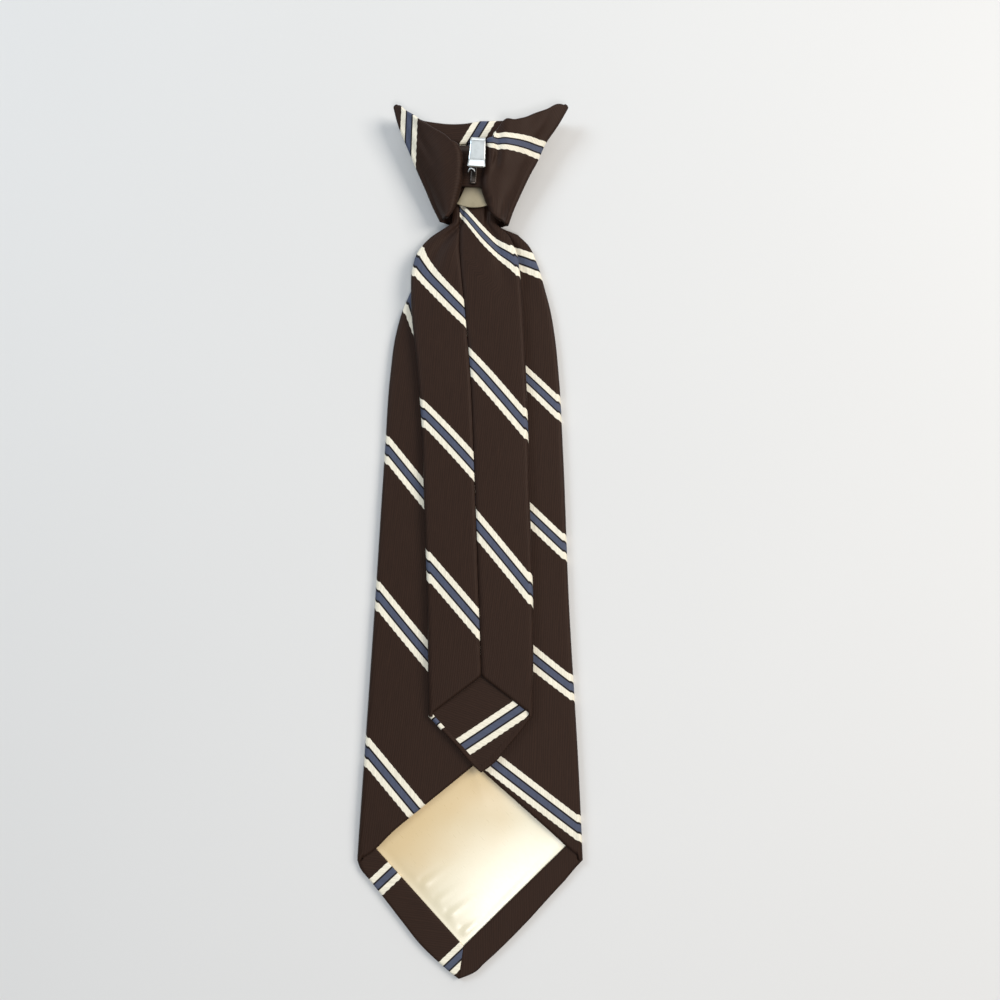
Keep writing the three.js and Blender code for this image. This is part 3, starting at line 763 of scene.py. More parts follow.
@dataclass(frozen=True)
class FoldedBlade:
    """A blade folded from one sheet: two back panels, rolled side edges and a front."""

    name: str
    node: str
    width: float                   # across the two corners
    point: float                   # corners down to the point
    point_shift: float             # the point's place beside the middle
    pad: float                     # folded cloth with its interlining
    neck_pad: float                # the same, pressed together inside the knot
    neck_width: float
    opening: float                 # corners up to the apex of the opening
    opening_shift: float
    tuck: float                    # lining that runs up under the back panels
    corner_y: float
    floor: float                   # height of what the blade lies on
    outline: Rows                  # share of the way up to the neck, left, right as shares of half the width
    point_outline: Rows            # share of the point's height, left, right as above
    inner: Rows                    # ends of the hems' inner lines: left, mitre, right
    seam: Rows                     # height, x
    left_run: StripeRun
    right_run: StripeRun
    front_shift: int               # numbers between the bands on the right edge and the left
    gathers: tuple[Gather, ...]
    flat: tuple[float, float]
    area: float
    edge_run: float = 1.5          # how far the side rolls reach in
    hem_roll: float = 0.8
    hem_top: float = 2.0
    hem_tuck: float = 3.0          # how far the hems run on under the panels
    hem_slant: tuple[float, float] = (0.0, 0.0)   # the bands' slip on the hems for each step inwards
    leg_sag: tuple[float, float] = (0.0, 0.0)     # how far the panels hang down near the corners
    lap: float = 1.2               # how far the panels' lower edges turn down
    seam_depth: float = 0.55       # groove of the seam down the back
    seam_part: float = 0.06        # how far the panels part at the seam
    seam_reach: float = 0.3        # how near the seam they part
    lining_reach: float = 4.0      # how far the lining runs under the hems
    neck_band: Rows = ()           # the right panel's uppermost band: x, its upper and its lower edge
    gather_run: float = 42.0
    crown: float = 0.10            # fall of the back towards its sides, as a share
    settle: float = 40.0           # stretch over which the point's columns slide to their full places

    @property
    def half(self) -> float:
        """Half the width across the corners."""
        return self.width / 2

    @property
    def top_y(self) -> float:
        """Upper end of the blade, inside the knot."""
        return NECK_Y + NECK_LENGTH

    def side(self, y: Array) -> tuple[Array, Array]:
        """X of the left and right side edges at some heights.

        Args:
            y: heights.

        Returns:
            X of the left edge and of the right.
        """
        share = np.clip((np.asarray(y, float) - self.corner_y) / (NECK_Y - self.corner_y), 0, 1)
        last = self.outline[-1][0]
        near = np.clip((share - last) / (1 - last), 0, 1)
        above = np.maximum(y - NECK_Y, 0) * math.tan(LEAN)
        shift = KNOT_SHIFT * near + above
        edges = [mix(self.half * curve(self.outline, column, share), self.neck_width / 2, near)
                 for column in (1, 2)]
        return shift - edges[0], shift + edges[1]

    def base(self, y: Array) -> Array:
        """Height of the blade's underside above the table, on its middle line."""
        return self.floor + RISE * climb(y)

    def thickness(self, y: Array) -> Array:
        """Thickness of the folded blade at some heights."""
        corner = mix(0.78, 1.0, smooth((y - self.corner_y) / 14.0))
        return mix(self.pad, self.neck_pad, climb(y)) * corner

    def folds(self, u: Array, y: Array) -> Array:
        """Depth of the gathers: bells that wander outwards as they run down from the neck.

        Args:
            u: shares across, -1 at the left edge and 1 at the right.
            y: heights.

        Returns:
            Depths, 0 or more.
        """
        run = np.clip((NECK_Y + 4 - y) / self.gather_run, 0, 1)
        near = (1 - smooth(run)) * smooth((NECK_Y + NECK_LENGTH - y) / 6)
        total = np.zeros(np.broadcast(u, y).shape)
        for g in self.gathers:
            total = total + g.depth * hump(u, mix(g.across, g.below, run), g.spread * (0.6 + run))
        return total * near

    def top(self, u: Array, y: Array) -> Array:
        """Height of the back.

        It is nearly flat and falls off as a cube towards the sides, becomes
        lens-shaped at the neck, drifts by two slow sines, and loses the depth
        of the gathers.

        Args:
            u: shares across, -1 at the left edge and 1 at the right.
            y: heights.

        Returns:
            Heights above the table.
        """
        lens = np.sqrt(np.maximum(0, 1 - u * u))
        thick = self.thickness(y)
        flat = 1 - self.crown * np.abs(u) ** 3
        rise = thick * mix(flat, 0.5 + 0.5 * lens, climb(y))
        drift = 0.10 * np.sin(0.11 * y + 2.3 * u) + 0.07 * np.sin(0.047 * y - 3.1 * u + 1.0)
        return self.base(y) + rise + drift * smooth((y - self.corner_y) / 20) * lens - self.folds(u, y) * lens

    def bottom(self, u: Array, y: Array) -> Array:
        """Height of the front, which lies flat and bows up towards the neck's sides."""
        lens = np.sqrt(np.maximum(0, 1 - u * u))
        return self.base(y) + 0.05 + self.thickness(y) * mix(0.0, 0.5 - 0.5 * lens, climb(y))

    def run(self, side: Side) -> StripeRun:
        """The bands on one side edge."""
        return (self.left_run, self.right_run)[side.index]

    def corner(self, side: Side) -> Array:
        """Plan point where one side edge ends and the point begins."""
        return np.array([side.value * self.half * self.outline[0][side.column], self.corner_y])

    @property
    def apex(self) -> Array:
        """Plan point of the top of the opening."""
        return np.array([self.opening_shift, self.corner_y + self.opening])

    def point_edge(self, side: Side, s: Array) -> tuple[Array, Array]:
        """One edge of the point, from the corner (s = 0) to the tip (s = 1).

        Half the width at each height comes from the outline table. The inset
        line lies inside the edge by the roll of the hem, and starts at the end
        of the side roll.

        Args:
            side: which edge.
            s: rising or falling shares of the way.

        Returns:
            Points of the edge and points of the inset line.
        """
        reach = self.half * self.outline[0][side.column] * curve(self.point_outline, side.column, 1 - s)
        edge = np.stack([self.point_shift * s + side.value * reach, self.corner_y - self.point * s], -1)
        along = np.gradient(edge, axis=0)
        square = np.stack([-along[:, 1], along[:, 0]], -1)
        square *= np.sign(square[:, 1:]) / np.linalg.norm(square, axis=1, keepdims=True)
        square = mix(square, np.array([[0.0, 1.0]]), smooth((s - 0.86) / 0.14)[:, None])
        square = mix(square, np.array([[-float(side.value), 0.0]]), 1 - smooth(s / 0.15)[:, None])
        square /= np.linalg.norm(square, axis=1, keepdims=True)
        roll = mix(self.edge_run, self.hem_roll, smooth(s / 0.2))[:, None]
        return edge, edge + square * roll

    def front_phase(self, x: Array, y: Array) -> Array:
        """Repeats on the front: a straight blend between its two side edges.

        Args:
            x: places across.
            y: heights.

        Returns:
            Repeats.
        """
        left, right = self.side(y)
        share = (x - left) / (right - left)
        ends = (self.left_run.phase(y, 0 * x, 1), self.right_run.phase(y, 0 * x, -1) + self.front_shift)
        return mix(ends[0], ends[1], share)

    def neck_phase(self, x: Array, y: Array, phase: Array) -> Array:
        """Repeats on the right panel, with its uppermost band between two edges of its own.

        Args:
            x: places across.
            y: heights.
            phase: repeats as the side edge gives them.

        Returns:
            Repeats, from the table of the band's edges above the plain cloth
            under it.
        """
        if not self.neck_band:
            return phase
        upper, lower = curve(self.neck_band, 1, x), curve(self.neck_band, 2, x)
        number = self.right_run.first + len(self.right_run.crossings) - 1
        own = number - BAND / REPEAT * (upper - y) / (upper - lower)
        return mix(phase, own, smooth((y - lower + 14) / 5))

    def rows_of(self, bottom: Array) -> Array:
        """Heights of the rows above each column's lower end, close together at both ends.

        Args:
            bottom: lower end of each column.

        Returns:
            Heights, one row for each share and one column for each end.
        """
        span = self.top_y - self.corner_y
        low = np.array([0, 0.12, 0.3, 0.55, 0.85, 1.2, 1.7, 2.5, 3.8, 5.5]) / span
        middle = np.arange(8.0, span - 64, 2.6) / span
        high = np.linspace((span - 64) / span, 1.0, 66)
        return mix(bottom[None, :], self.top_y, np.concatenate([low, middle, high])[:, None])

    def roll_share(self, y: Array, edge: Array) -> Array:
        """Share across at which a side roll starts."""
        middle = sum(self.side(y)) / 2
        return 1 - self.edge_run / np.abs(edge - middle)

    def panel(self, side: Side) -> tuple[Array, Array]:
        """One back panel, from the seam to the side roll.

        Each column starts on the opening's leg or at the corner, and its share
        across slides smoothly to its place on the full panel. The lower edge
        turns down in a quarter of an ellipse, and the seam is a bell-shaped
        groove.

        Args:
            side: which panel.

        Returns:
            Points and weave places.
        """
        apex, corner = self.apex, self.corner(side)
        share = np.concatenate([[0, 0.012, 0.03], np.linspace(0.06, 1, 30)])
        foot = mix(apex[None], corner[None], share[:, None])
        foot[:, 1] -= self.leg_sag[side.index] * hump(share, 0.87, 0.12) * (1 - smooth((share - 0.93) / 0.07))
        y = self.rows_of(foot[:, 1])
        edge, seam = self.side(y)[side.index], curve(self.seam, 1, y)
        foot_edge, foot_seam = self.side(foot[:, 1])[side.index], curve(self.seam, 1, foot[:, 1])
        start = np.clip((foot[:, 0] - foot_seam) / (foot_edge - side.value * self.edge_run - foot_seam), 0, 1)
        settled = mix(start[None], share[None], smooth((y - foot[None, :, 1]) / self.settle))
        x = mix(seam, edge - side.value * self.edge_run, settled)
        middle = sum(self.side(y)) / 2
        u = np.clip((x - middle) / (edge - middle), -1, 1)
        z = self.top(np.abs(u) * side.value, y)
        drop = (y - foot[None, :, 1]) * abs(corner[0] - apex[0]) / np.linalg.norm(corner - apex)
        left = 1 - np.clip(drop / self.lap, 0, 1)
        z = z - self.lap * (1 - np.sqrt(np.clip(1 - left**2, 0, 1)))
        gap = np.abs(x - seam)
        z = z - self.seam_depth * hump(gap, 0.0, self.seam_depth)
        x = x + side.value * self.seam_part * hump(gap, 0.0, self.seam_reach)
        phase = self.run(side).phase(y, np.abs(edge - x), -side.value)
        if side is Side.RIGHT:
            phase = self.neck_phase(x, y, phase)
        return plan(x, y, z), woven(phase, FALL[0] * x - FALL[1] * y)

    def side_roll(self, side: Side) -> tuple[Array, Array]:
        """The roll of one side edge: half an ellipse from the back down to the front.

        Args:
            side: which edge.

        Returns:
            Points and weave places.
        """
        turn = np.linspace(0, np.pi, 11)[1:-1]
        y = self.rows_of(np.full(len(turn), self.corner_y))
        edge = self.side(y)[side.index]
        u = side.value * self.roll_share(y, edge)
        x = edge - side.value * self.edge_run * (1 - np.sin(turn))
        z = mix(self.bottom(u, y), self.top(u, y), 0.5 + 0.5 * np.cos(turn))
        phase = self.run(side).phase(y, self.edge_run * np.maximum(0, np.cos(turn)), -side.value)
        down = np.where(turn < np.pi / 2, -FALL[1] * y, FALL[1] * y)
        return plan(x, y, z), woven(phase, FALL[0] * x + down)

    def front(self) -> tuple[Array, Array]:
        """The front between the side rolls and down to the point.

        Each column starts on the inset line of the point's edge, and slides
        smoothly to its place on the full front.

        Returns:
            Points and weave places.
        """
        across = np.sin(np.linspace(-1, 1, 61) * np.pi / 2)
        middle_column = len(across) // 2
        ends = np.concatenate([self.point_edge(Side.LEFT, 1 + across[:middle_column + 1])[1][:-1],
                               self.point_edge(Side.RIGHT, 1 - across[middle_column:])[1]])
        y = self.rows_of(ends[:, 1])
        left, right = self.side(y)
        full = mix(left + self.edge_run, right - self.edge_run, (across[None] + 1) / 2)
        x = mix(ends[None, :, 0], full, smooth((y - ends[None, :, 1]) / self.settle))
        middle = (left + right) / 2
        u = np.clip((x - middle) / (right - middle), -1, 1)
        return plan(x, y, self.bottom(u, y)), woven(self.front_phase(x, y), FALL[0] * x + FALL[1] * y)

    def wrap(self) -> Patch:
        """The folded sheet from seam to seam: left panel, roll, front, roll, right panel.

        Returns:
            The sheet as one grid.
        """
        left, left_roll, front = self.panel(Side.LEFT), self.side_roll(Side.LEFT), self.front()
        right, right_roll = ((points[:, ::-1], weave[:, ::-1] + (self.front_shift * REPEAT, 0.0))
                             for points, weave in (self.panel(Side.RIGHT), self.side_roll(Side.RIGHT)))
        both = zip(left, left_roll, front, right_roll, right)
        points, weave = (np.concatenate(grids, axis=1) for grids in both)
        return Patch(points, weave, CLOTH)

    def hem(self, side: Side) -> Patch:
        """The turned-in strip along one edge of the point.

        Its section starts under the front's edge, goes round half an ellipse
        and lies flat to its inner line, where it turns down. Lengthwise it runs
        from the corner to the mitre at the point. The bands on it are the
        front's, mirrored at the edge.

        Args:
            side: which edge.

        Returns:
            The strip as one grid.
        """
        s = 1 - (1 - np.linspace(0, 1, 61)[:, None]) ** 1.3
        outer, inset = self.point_edge(side, s[:, 0])
        end, mitre = np.array(self.inner[2 * side.index]), np.array(self.inner[1])
        tucked = end + (end - mitre) / np.linalg.norm(end - mitre) * self.hem_tuck
        inner = mix(tucked[None], mitre[None], s)
        turn = np.linspace(0, np.pi, 10)
        flat = np.concatenate([np.linspace(0, 1, 14)[1:-1], [0.96, 0.985, 1.0]])
        round_xy = inset[:, None] + (outer - inset)[:, None] * np.sin(turn)[None, :, None]
        low = self.floor + 0.05
        high = self.floor + self.hem_top
        round_z = mix(low, high, 0.5 - 0.5 * np.cos(turn))[None].repeat(len(s), 0)
        flat_xy = mix(inset[:, None], inner[:, None], flat[None, :, None])
        wave = 0.06 * np.sin(s * 17.0) * flat[None]
        flat_z = high - wave - 0.12 * flat[None] - 0.15 * smooth((flat[None] - 0.93) / 0.07)
        xy = np.concatenate([round_xy, flat_xy], axis=1)
        z = np.concatenate([round_z, flat_z * np.ones_like(s)], axis=1)
        along = outer[-1] - outer[0]
        inwards = np.array([-along[1], along[0]]) * math.copysign(1.0, along[0]) / np.linalg.norm(along)
        away = np.maximum((xy - inset[len(s) // 2]) @ inwards, 0)[..., None]
        slip = np.array([inwards[1], -inwards[0]]) * self.hem_slant[side.index]
        mirror = xy - away * (2 * inwards + slip)
        weave = woven(self.front_phase(mirror[..., 0], mirror[..., 1]), xy @ np.array(FALL))
        points = plan(xy[..., 0], xy[..., 1], z)
        if side is Side.RIGHT:
            points, weave = points[::-1], weave[::-1]
        return Patch(points, weave, CLOTH * 0.8)

    def build(self, material: bpy.types.Material) -> bpy.types.Object:
        """Makes the blade's cloth: wrap and hems."""
        parts = [self.wrap(), self.hem(Side.LEFT), self.hem(Side.RIGHT)]
        return build_object(f"{self.name}_cloth", parts, material, (self.node,))

    def lining(self) -> tuple[Array, Array, Array, Array]:
        """Plan of the lining of the point.

        The four corners are the hems' mitre, the two ends of their inner lines
        and the apex of the opening, the last three tucked up under the panels,
        and points between them are blended both ways.

        Returns:
            X, Y, and the shares of the way from the left and the right hem.
        """
        reach = self.lining_reach
        left, mitre, right = (np.array(end) for end in self.inner)
        mitre = mitre - (0, reach * 1.2)
        left = left + (-reach * 1.1, reach * 0.3)
        right = right + (reach * 1.1, reach * 0.3)
        apex = self.apex + (0, self.tuck)
        u, v = np.meshgrid(np.linspace(0, 1, 61), np.linspace(0, 1, 61))
        xy = (mitre * ((1 - u) * (1 - v))[..., None] + right * (u * (1 - v))[..., None]
              + left * ((1 - u) * v)[..., None] + apex * (u * v)[..., None])
        return xy[..., 0], xy[..., 1], u, v

    def build_lining_from(self, points: Array, weave: Array, thick: float, material: bpy.types.Material,
                          slot: Slot) -> bpy.types.Object:
        """Makes the point's lining, facing up, from a grid with its rows along the right hem."""
        patch = Patch(points.swapaxes(0, 1)[::-1], weave.swapaxes(0, 1)[::-1], thick)
        return build_object(f"{self.name}_lining", [patch], material, (f"{self.name}_tipping",))


@dataclass(frozen=True)
class Blade(FoldedBlade):
    """The wide front blade with its satin lining."""

    # Place along the left hem, height
    puckers: Rows = ((0.15, 0.30), (0.29, 0.28), (0.41, 0.12), (0.55, 0.24))

    def build_lining(self, material: bpy.types.Material) -> bpy.types.Object:
        """Makes the satin lining: a slightly slack square with puckers along the left hem.

        Args:
            material: the satin.

        Returns:
            The finished object.
        """
        x, y, u, v = self.lining()
        open_u, open_v = (np.clip((share - 0.08) / 0.92, 0, 1) for share in (u, v))
        pillow = (16 * open_u * (1 - open_u) * open_v * (1 - open_v)) ** 0.6
        z = self.floor + 0.95 + 0.75 * pillow
        near = smooth((u - 0.09) / 0.04) * np.exp(-np.maximum(u - 0.12, 0) / 0.05)
        for place, size in self.puckers:
            ridge = hump(v + 0.2 * u, place, 0.018) - 0.7 * hump(v + 0.2 * u, place + 0.035, 0.018)
            z = z + size * ridge * near
        z = z + 0.10 * hump(u - 0.35 * v, 0.52, 0.03) * smooth((v - 0.5) / 0.3) * smooth((1 - v) / 0.2)
        z = z - 0.10 * hump(u + v, 1.25, 0.14) + 0.10 * np.sin(5.5 * u + 3.2 * v) * pillow
        piece = self.build_lining_from(plan(x, y, z), np.stack([x, y], -1), 0.35, material, Slot.SATIN)
        return piece


@dataclass(frozen=True)
class Tail(FoldedBlade):
    """The narrow tail, lined at its point with the tie's own silk."""

    band_slope: float = math.radians(33.3)   # of the band on the lining, rising to the right
    band_place: float = 68.7                 # place of its upper edge, square to it

    def build_lining(self, material: bpy.types.Material) -> bpy.types.Object:
        """Makes the lining: the silk with its band rising to the right.

        Args:
            material: the silk.

        Returns:
            The finished object.
        """
        x, y, u, v = self.lining()
        z = self.floor + 1.35 + 0.3 * (4 * u * (1 - u)) ** 0.5 * (4 * v * (1 - v)) ** 0.5
        right, up = math.cos(self.band_slope), math.sin(self.band_slope)
        weave = np.stack([right * y - up * x - self.band_place, right * x + up * y], -1)
        piece = self.build_lining_from(plan(x, y, z), weave, 0.4, material, Slot.SILK)
        return piece


BLADE = Blade(
    name="blade", node="front_blade", width=76, point=38.5, point_shift=-3.6,
    pad=3.7, neck_pad=3.2, neck_width=17.7, opening=31.7, opening_shift=1.6,
    tuck=16, corner_y=38.5, floor=0.0,
    point_outline=(
        (0.00, 0.000, 0.000), (0.04, 0.060, 0.105), (0.13, 0.180, 0.212), (0.27, 0.350, 0.358),
        (0.47, 0.540, 0.547), (0.72, 0.768, 0.763), (0.84, 0.882, 0.868), (0.92, 0.960, 0.930),
        (1.00, 1.000, 1.000),
    ),
    inner=((-31.6, 42.3), (-2.1, 10.7), (32.65, 43.6)), hem_slant=(-0.10, 0.0), leg_sag=(1.4, 0.3),
    outline=(
        (0.000, 1.000, 1.000), (0.132, 0.955, 0.970), (0.395, 0.868, 0.892), (0.632, 0.795, 0.847),
        (0.756, 0.753, 0.812), (0.823, 0.705, 0.775), (0.865, 0.640, 0.735), (0.896, 0.565, 0.690),
        (0.940, 0.460, 0.615), (0.972, 0.380, 0.525), (0.988, 0.330, 0.430),
    ),
    seam=((70.2, 1.6), (150.0, 1.0), (258.0, 0.9)),
    left_run=StripeRun((80.8, 133.6, 184.1, 239.3), 0,
                       ((80.8, 1.09), (133.6, 1.156), (190.0, 1.156), (217.0, 1.6), (236.0, 1.4))),
    right_run=StripeRun((52.8, 99.6, 147.4, 196.15, 248.3), 0,
                        ((52.8, 0.774), (99.6, 0.79), (147.4, 0.97), (196.15, 1.022), (225.0, 1.0),
                         (240.0, 0.55), (249.0, 0.43))),
    front_shift=-2,
    gathers=(
        Gather(-0.55, -0.75, 1.3, 0.14), Gather(0.62, 0.80, 1.4, 0.12), Gather(0.30, 0.45, 0.7, 0.10),
        Gather(-0.25, -0.35, 0.6, 0.10),
    ),
    flat=(0.150, 0.275), area=0.0330,
)

TAIL = Tail(
    name="tail", node="tail", width=36, point=18.6, point_shift=3.7,
    pad=3.5, neck_pad=2.8, neck_width=15.7, opening=13.4, opening_shift=3.8,
    tuck=7, corner_y=86.5, floor=4.0,
    point_outline=((0.00, 0.00, 0.00), (0.05, 0.07, 0.08), (0.50, 0.51, 0.55), (1.00, 1.00, 1.00)),
    inner=((-12.75, 87.5), (3.7, 70.2), (20.0, 87.5)), lining_reach=0.8, hem_tuck=1.5,
    outline=(
        (0.000, 0.780, 1.180), (0.226, 0.820, 1.190), (0.425, 0.894, 1.133), (0.588, 0.956, 1.100),
        (0.704, 1.050, 1.060), (0.849, 1.178, 0.990), (0.907, 1.156, 0.940), (0.942, 1.044, 0.880),
        (0.959, 0.920, 0.810), (0.974, 0.770, 0.740),
    ),
    seam=(
        (99.9, 3.8), (125.5, 2.9), (168.5, 1.3), (205.0, -0.3), (228.0, -2.3), (247.0, -4.0), (263.0, -4.2),
    ),
    left_run=StripeRun((87.3, 143.9, 196.3, 250.8), -1, ((143.9, 1.2), (196.3, 1.06), (250.8, 1.09))),
    right_run=StripeRun((75.7, 133.3, 190.3, 249.0), -1,
                        ((133.3, 1.285), (190.3, 1.24), (204.0, 1.23), (214.5, 1.18), (249.0, 0.84))),
    neck_band=(
        (-4.4, 266.0, 261.1), (-1.4, 262.9, 257.0), (4.8, 256.1, 249.3), (9.2, 252.2, 245.2),
        (15.4, 248.9, 239.6), (17.3, 247.6, 237.4),
    ),
    front_shift=-1,
    gathers=(
        Gather(-0.52, -0.80, 1.5, 0.16), Gather(0.55, 0.82, 1.2, 0.13), Gather(-0.12, -0.20, 0.5, 0.10),
    ),
    flat=(0.085, 0.205), area=0.0150,
)


@dataclass(frozen=True)
class Knot:
    """The knot: a front, two side folds that end in ears, and two back flaps, from one sheet."""

    foot_width: float = 24.6
    ear_span: float = 62.0
    height: float = 40.8           # foot to the ears, less their rolled rims
    ear_step: float = 3.4
    foot_drop: float = 0.2         # how far the foot hangs down over the blades
    foot_depth: float = 10.2
    top_depth: float = 13.9
    fold_foot: float = 5.0         # height of the side folds at the foot and at the ears
    fold_top: float = 8.4
    flap_tops: tuple[float, float] = (25.4, 27.4)   # foot to the flaps' upper inner corners
    flap_gap: float = 7.4
    dome: float = 2.2              # power of the flaps' fall towards the side folds
    dish: float = 4                # power of the front's rise towards the side folds
    fold_radius: float = 1.25
    edge_roll: float = 2.5         # radius of the flaps' inner edges
    edge_turn: float = 118.0       # degrees that they turn through
    edge_drop: float = 1.2         # straight end inside the knot
    # Share of the height; spread of the left and of the right side, as shares of the ears' spread
    sides: Rows = ((0.00, 0.000, 0.00), (0.12, 0.145, 0.08), (0.27, 0.300, 0.21), (0.45, 0.495, 0.38),
                   (0.54, 0.585, 0.48), (0.69, 0.742, 0.61), (0.86, 0.905, 0.84), (1.00, 1.000, 1.00))
    # Share of the way to an ear; drop of the front's rim on the left and on the right
    rim: Rows = ((0.00, 2.0, 2.0), (0.20, 3.0, 1.9), (0.40, 3.2, 1.7), (0.55, 2.9, 1.4), (0.72, 2.5, 1.1),
                 (0.90, 0.6, 0.5), (1.00, 0.0, 0.0))
    # Share of the height; left and right flap's inner edge, as shares of half the gap
    flap_edge: Rows = ((0.00, 2.43, 2.40), (0.07, 2.10, 1.66), (0.16, 1.82, 1.30), (0.27, 1.57, 0.92),
                       (0.41, 1.38, 0.52), (0.60, 1.25, 0.57), (0.76, 1.29, 0.78), (0.90, 1.43, 0.76),
                       (1.00, 1.78, 0.72))
    # Share of the way from the inner corner to the ear; rise of the left and of the right flap's top
    flap_rise: Rows = ((0.00, 0.00, 0.00), (0.10, 0.13, 0.36), (0.31, 0.31, 0.48), (0.46, 0.45, 0.58),
                       (0.56, 0.54, 0.69), (0.76, 0.77, 0.86), (0.88, 0.92, 1.00), (0.95, 1.01, 1.02),
                       (1.00, 0.99, 1.00))
    # X; upper and lower edge of the right flap's band
    right_band: Rows = ((0.5, 27.3, 25.4), (2.1, 28.1, 25.9), (4.1, 29.3, 24.6), (7.1, 29.9, 24.3),
                        (11.8, 30.2, 24.3), (18.5, 30.2, 23.9), (23.7, 30.0, 23.2), (31.0, 29.3, 22.2))
    left_band: tuple[float, float] = (-28.0, 6.2)   # X where the left flap's band starts, and its width
    front_band: tuple[float, float, float, float] = (-2.83, 39.0, 63.0, 7.1)   # point, degrees, width
    rim_turn: float = 7.0          # how deep the front's rim is turned in
    rim_radius: float = 0.8
    rim_blend: int = 8             # columns at the ears where the rim keeps the flaps' bands
    cloth: float = 0.5             # thickness of the knot's silk
    table_gap: float = 0.12        # height of the front above the table
    # Height and half the width of the cloth behind the clip, at its lower and its upper end
    back_band: Rows = ((11.6, 6.5), (27.5, 7.5))
    back_band_z: float = 9.0

    def place(self, points: Array) -> Array:
        """Leans the knot over and moves it to the top of the blades.

        Args:
            points: places in the knot's own plan.

        Returns:
            Places on the tie.
        """
        x, y = points[..., 0], points[..., 1]
        return plan(KNOT_SHIFT + x * math.cos(LEAN) + y * math.sin(LEAN),
                    KNOT_FOOT_Y - x * math.sin(LEAN) + y * math.cos(LEAN), points[..., 2])

    def half(self, side: Side, t: Array) -> Array:
        """Half the spread of a side fold at a share of the height."""
        return mix(self.foot_width, self.ear_span, curve(self.sides, side.column, t)) / 2

    def raised(self, top: Array | float, t: Array) -> Array:
        """Height of a point at a share of the way up to a top, from the hanging foot."""
        return top * t - self.foot_drop * (1 - t) ** 3

    def ear(self, side: Side) -> float:
        """Height of one ear."""
        return self.height + side.value * self.ear_step / 2

    def radius(self, t: Array) -> Array:
        """Radius of the side folds, pinched towards the ears' tips."""
        return self.fold_radius * mix(1.0, 0.75, smooth((t - 0.72) / 0.28))

    def roll(self, t: Array) -> Array:
        """Radius of the flaps' inner edges, which flatten towards the foot."""
        return self.edge_roll * mix(0.35, 1.0, smooth(t / 0.3))

    def fold_z(self, t: Array) -> Array:
        """Height of the side folds' middles."""
        return mix(self.fold_foot, self.fold_top, t)

    def flap(self, side: Side, s: Array, t: Array) -> Array:
        """A back flap, from its inner edge (s = 0) to the side fold (s = 1).

        It domes from the fold up to the inner edge: its height falls off as a
        power of s, and bell-shaped creases and swells are added to it.

        Args:
            side: which flap.
            s: shares of the way out.
            t: shares of the height.

        Returns:
            Points of the flap.
        """
        edge = self.flap_gap / 2 * curve(self.flap_edge, side.column, t)
        fold = self.half(side, t) - self.radius(t)
        x = mix(np.minimum(edge + self.roll(t), fold - 0.4), fold, s)
        top = mix(self.flap_tops[side.index], self.ear(side), curve(self.flap_rise, side.column, s))
        low = self.fold_z(t) + self.radius(t)
        depth = mix(self.foot_depth, self.top_depth, t)
        z = low + (depth - low) * (1 - s**self.dome)
        if side is Side.RIGHT:
            z = z - 0.75 * hump(x, 6.9, 1.0) * smooth((t - 0.45) / 0.2)
            z = z + 0.35 * hump(x, 9.6, 1.8) * smooth((t - 0.4) / 0.2)
            z = z - 0.5 * hump(s, 0.55, 0.14) * smooth((t - 0.75) / 0.25)
        else:
            z = z - 0.45 * hump(s - 0.5 * t, 0.28, 0.12) * smooth((t - 0.5) / 0.3)
            z = z + 0.45 * hump(s, 0.30, 0.2) * hump(t, 0.62, 0.25)
        return plan(side.value * x, self.raised(top, t), z)

    def inner_roll(self, side: Side, t: Array) -> Array:
        """The flap's inner edge: a round turn downwards and a straight end inside the knot.

        Args:
            side: which flap.
            t: shares of the height.

        Returns:
            Points of the edge, from the flap inwards.
        """
        crest = self.flap(side, np.zeros_like(t), t)
        full = math.radians(self.edge_turn)
        turn = full * np.linspace(0, 1, 11)[None]
        over = self.roll(t) * np.sin(turn)
        down = self.roll(t) * (1 - np.cos(turn))
        end = np.linspace(0, 1, 5)[None, 1:] * self.edge_drop
        over = np.concatenate([over, over[:, -1:] + end * math.cos(full)], 1)
        down = np.concatenate([down, down[:, -1:] + end * math.sin(full)], 1)
        x = crest[..., 0] - side.value * over
        return plan(x, crest[..., 1] + 0 * over, crest[..., 2] - down)

    def front(self, u: Array, t: Array) -> Array:
        """The front, which lies on the table and bows up to the side folds.

        Args:
            u: shares across, -1 at the left fold and 1 at the right.
            t: shares of the height.

        Returns:
            Points of the front.
        """
        s = np.abs(u)
        left = mix(self.height, self.ear(Side.LEFT), s) - curve(self.rim, 1, s)
        right = mix(self.height, self.ear(Side.RIGHT), s) - curve(self.rim, 2, s)
        half = np.where(u < 0, self.half(Side.LEFT, t), self.half(Side.RIGHT, t))
        z = mix(self.table_gap, self.fold_z(t) - self.radius(t), s**self.dish)
        return plan(u * (half - self.radius(t)), self.raised(np.where(u < 0, left, right), t), z)

    def fold(self, side: Side, turn: Array, t: Array) -> Array:
        """A side fold: half a circle from the front (turn = 0) up to the flap (turn = 1).

        Args:
            side: which fold.
            turn: shares of the way round.
            t: shares of the height.

        Returns:
            Points of the fold.
        """
        angle = np.pi * (turn - 0.5)
        r = self.radius(t)
        x = self.half(side, t) - r + r * np.cos(angle)
        y = self.raised(self.ear(side), t) + 0 * angle
        return plan(side.value * x, y, self.fold_z(t) + r * np.sin(angle))

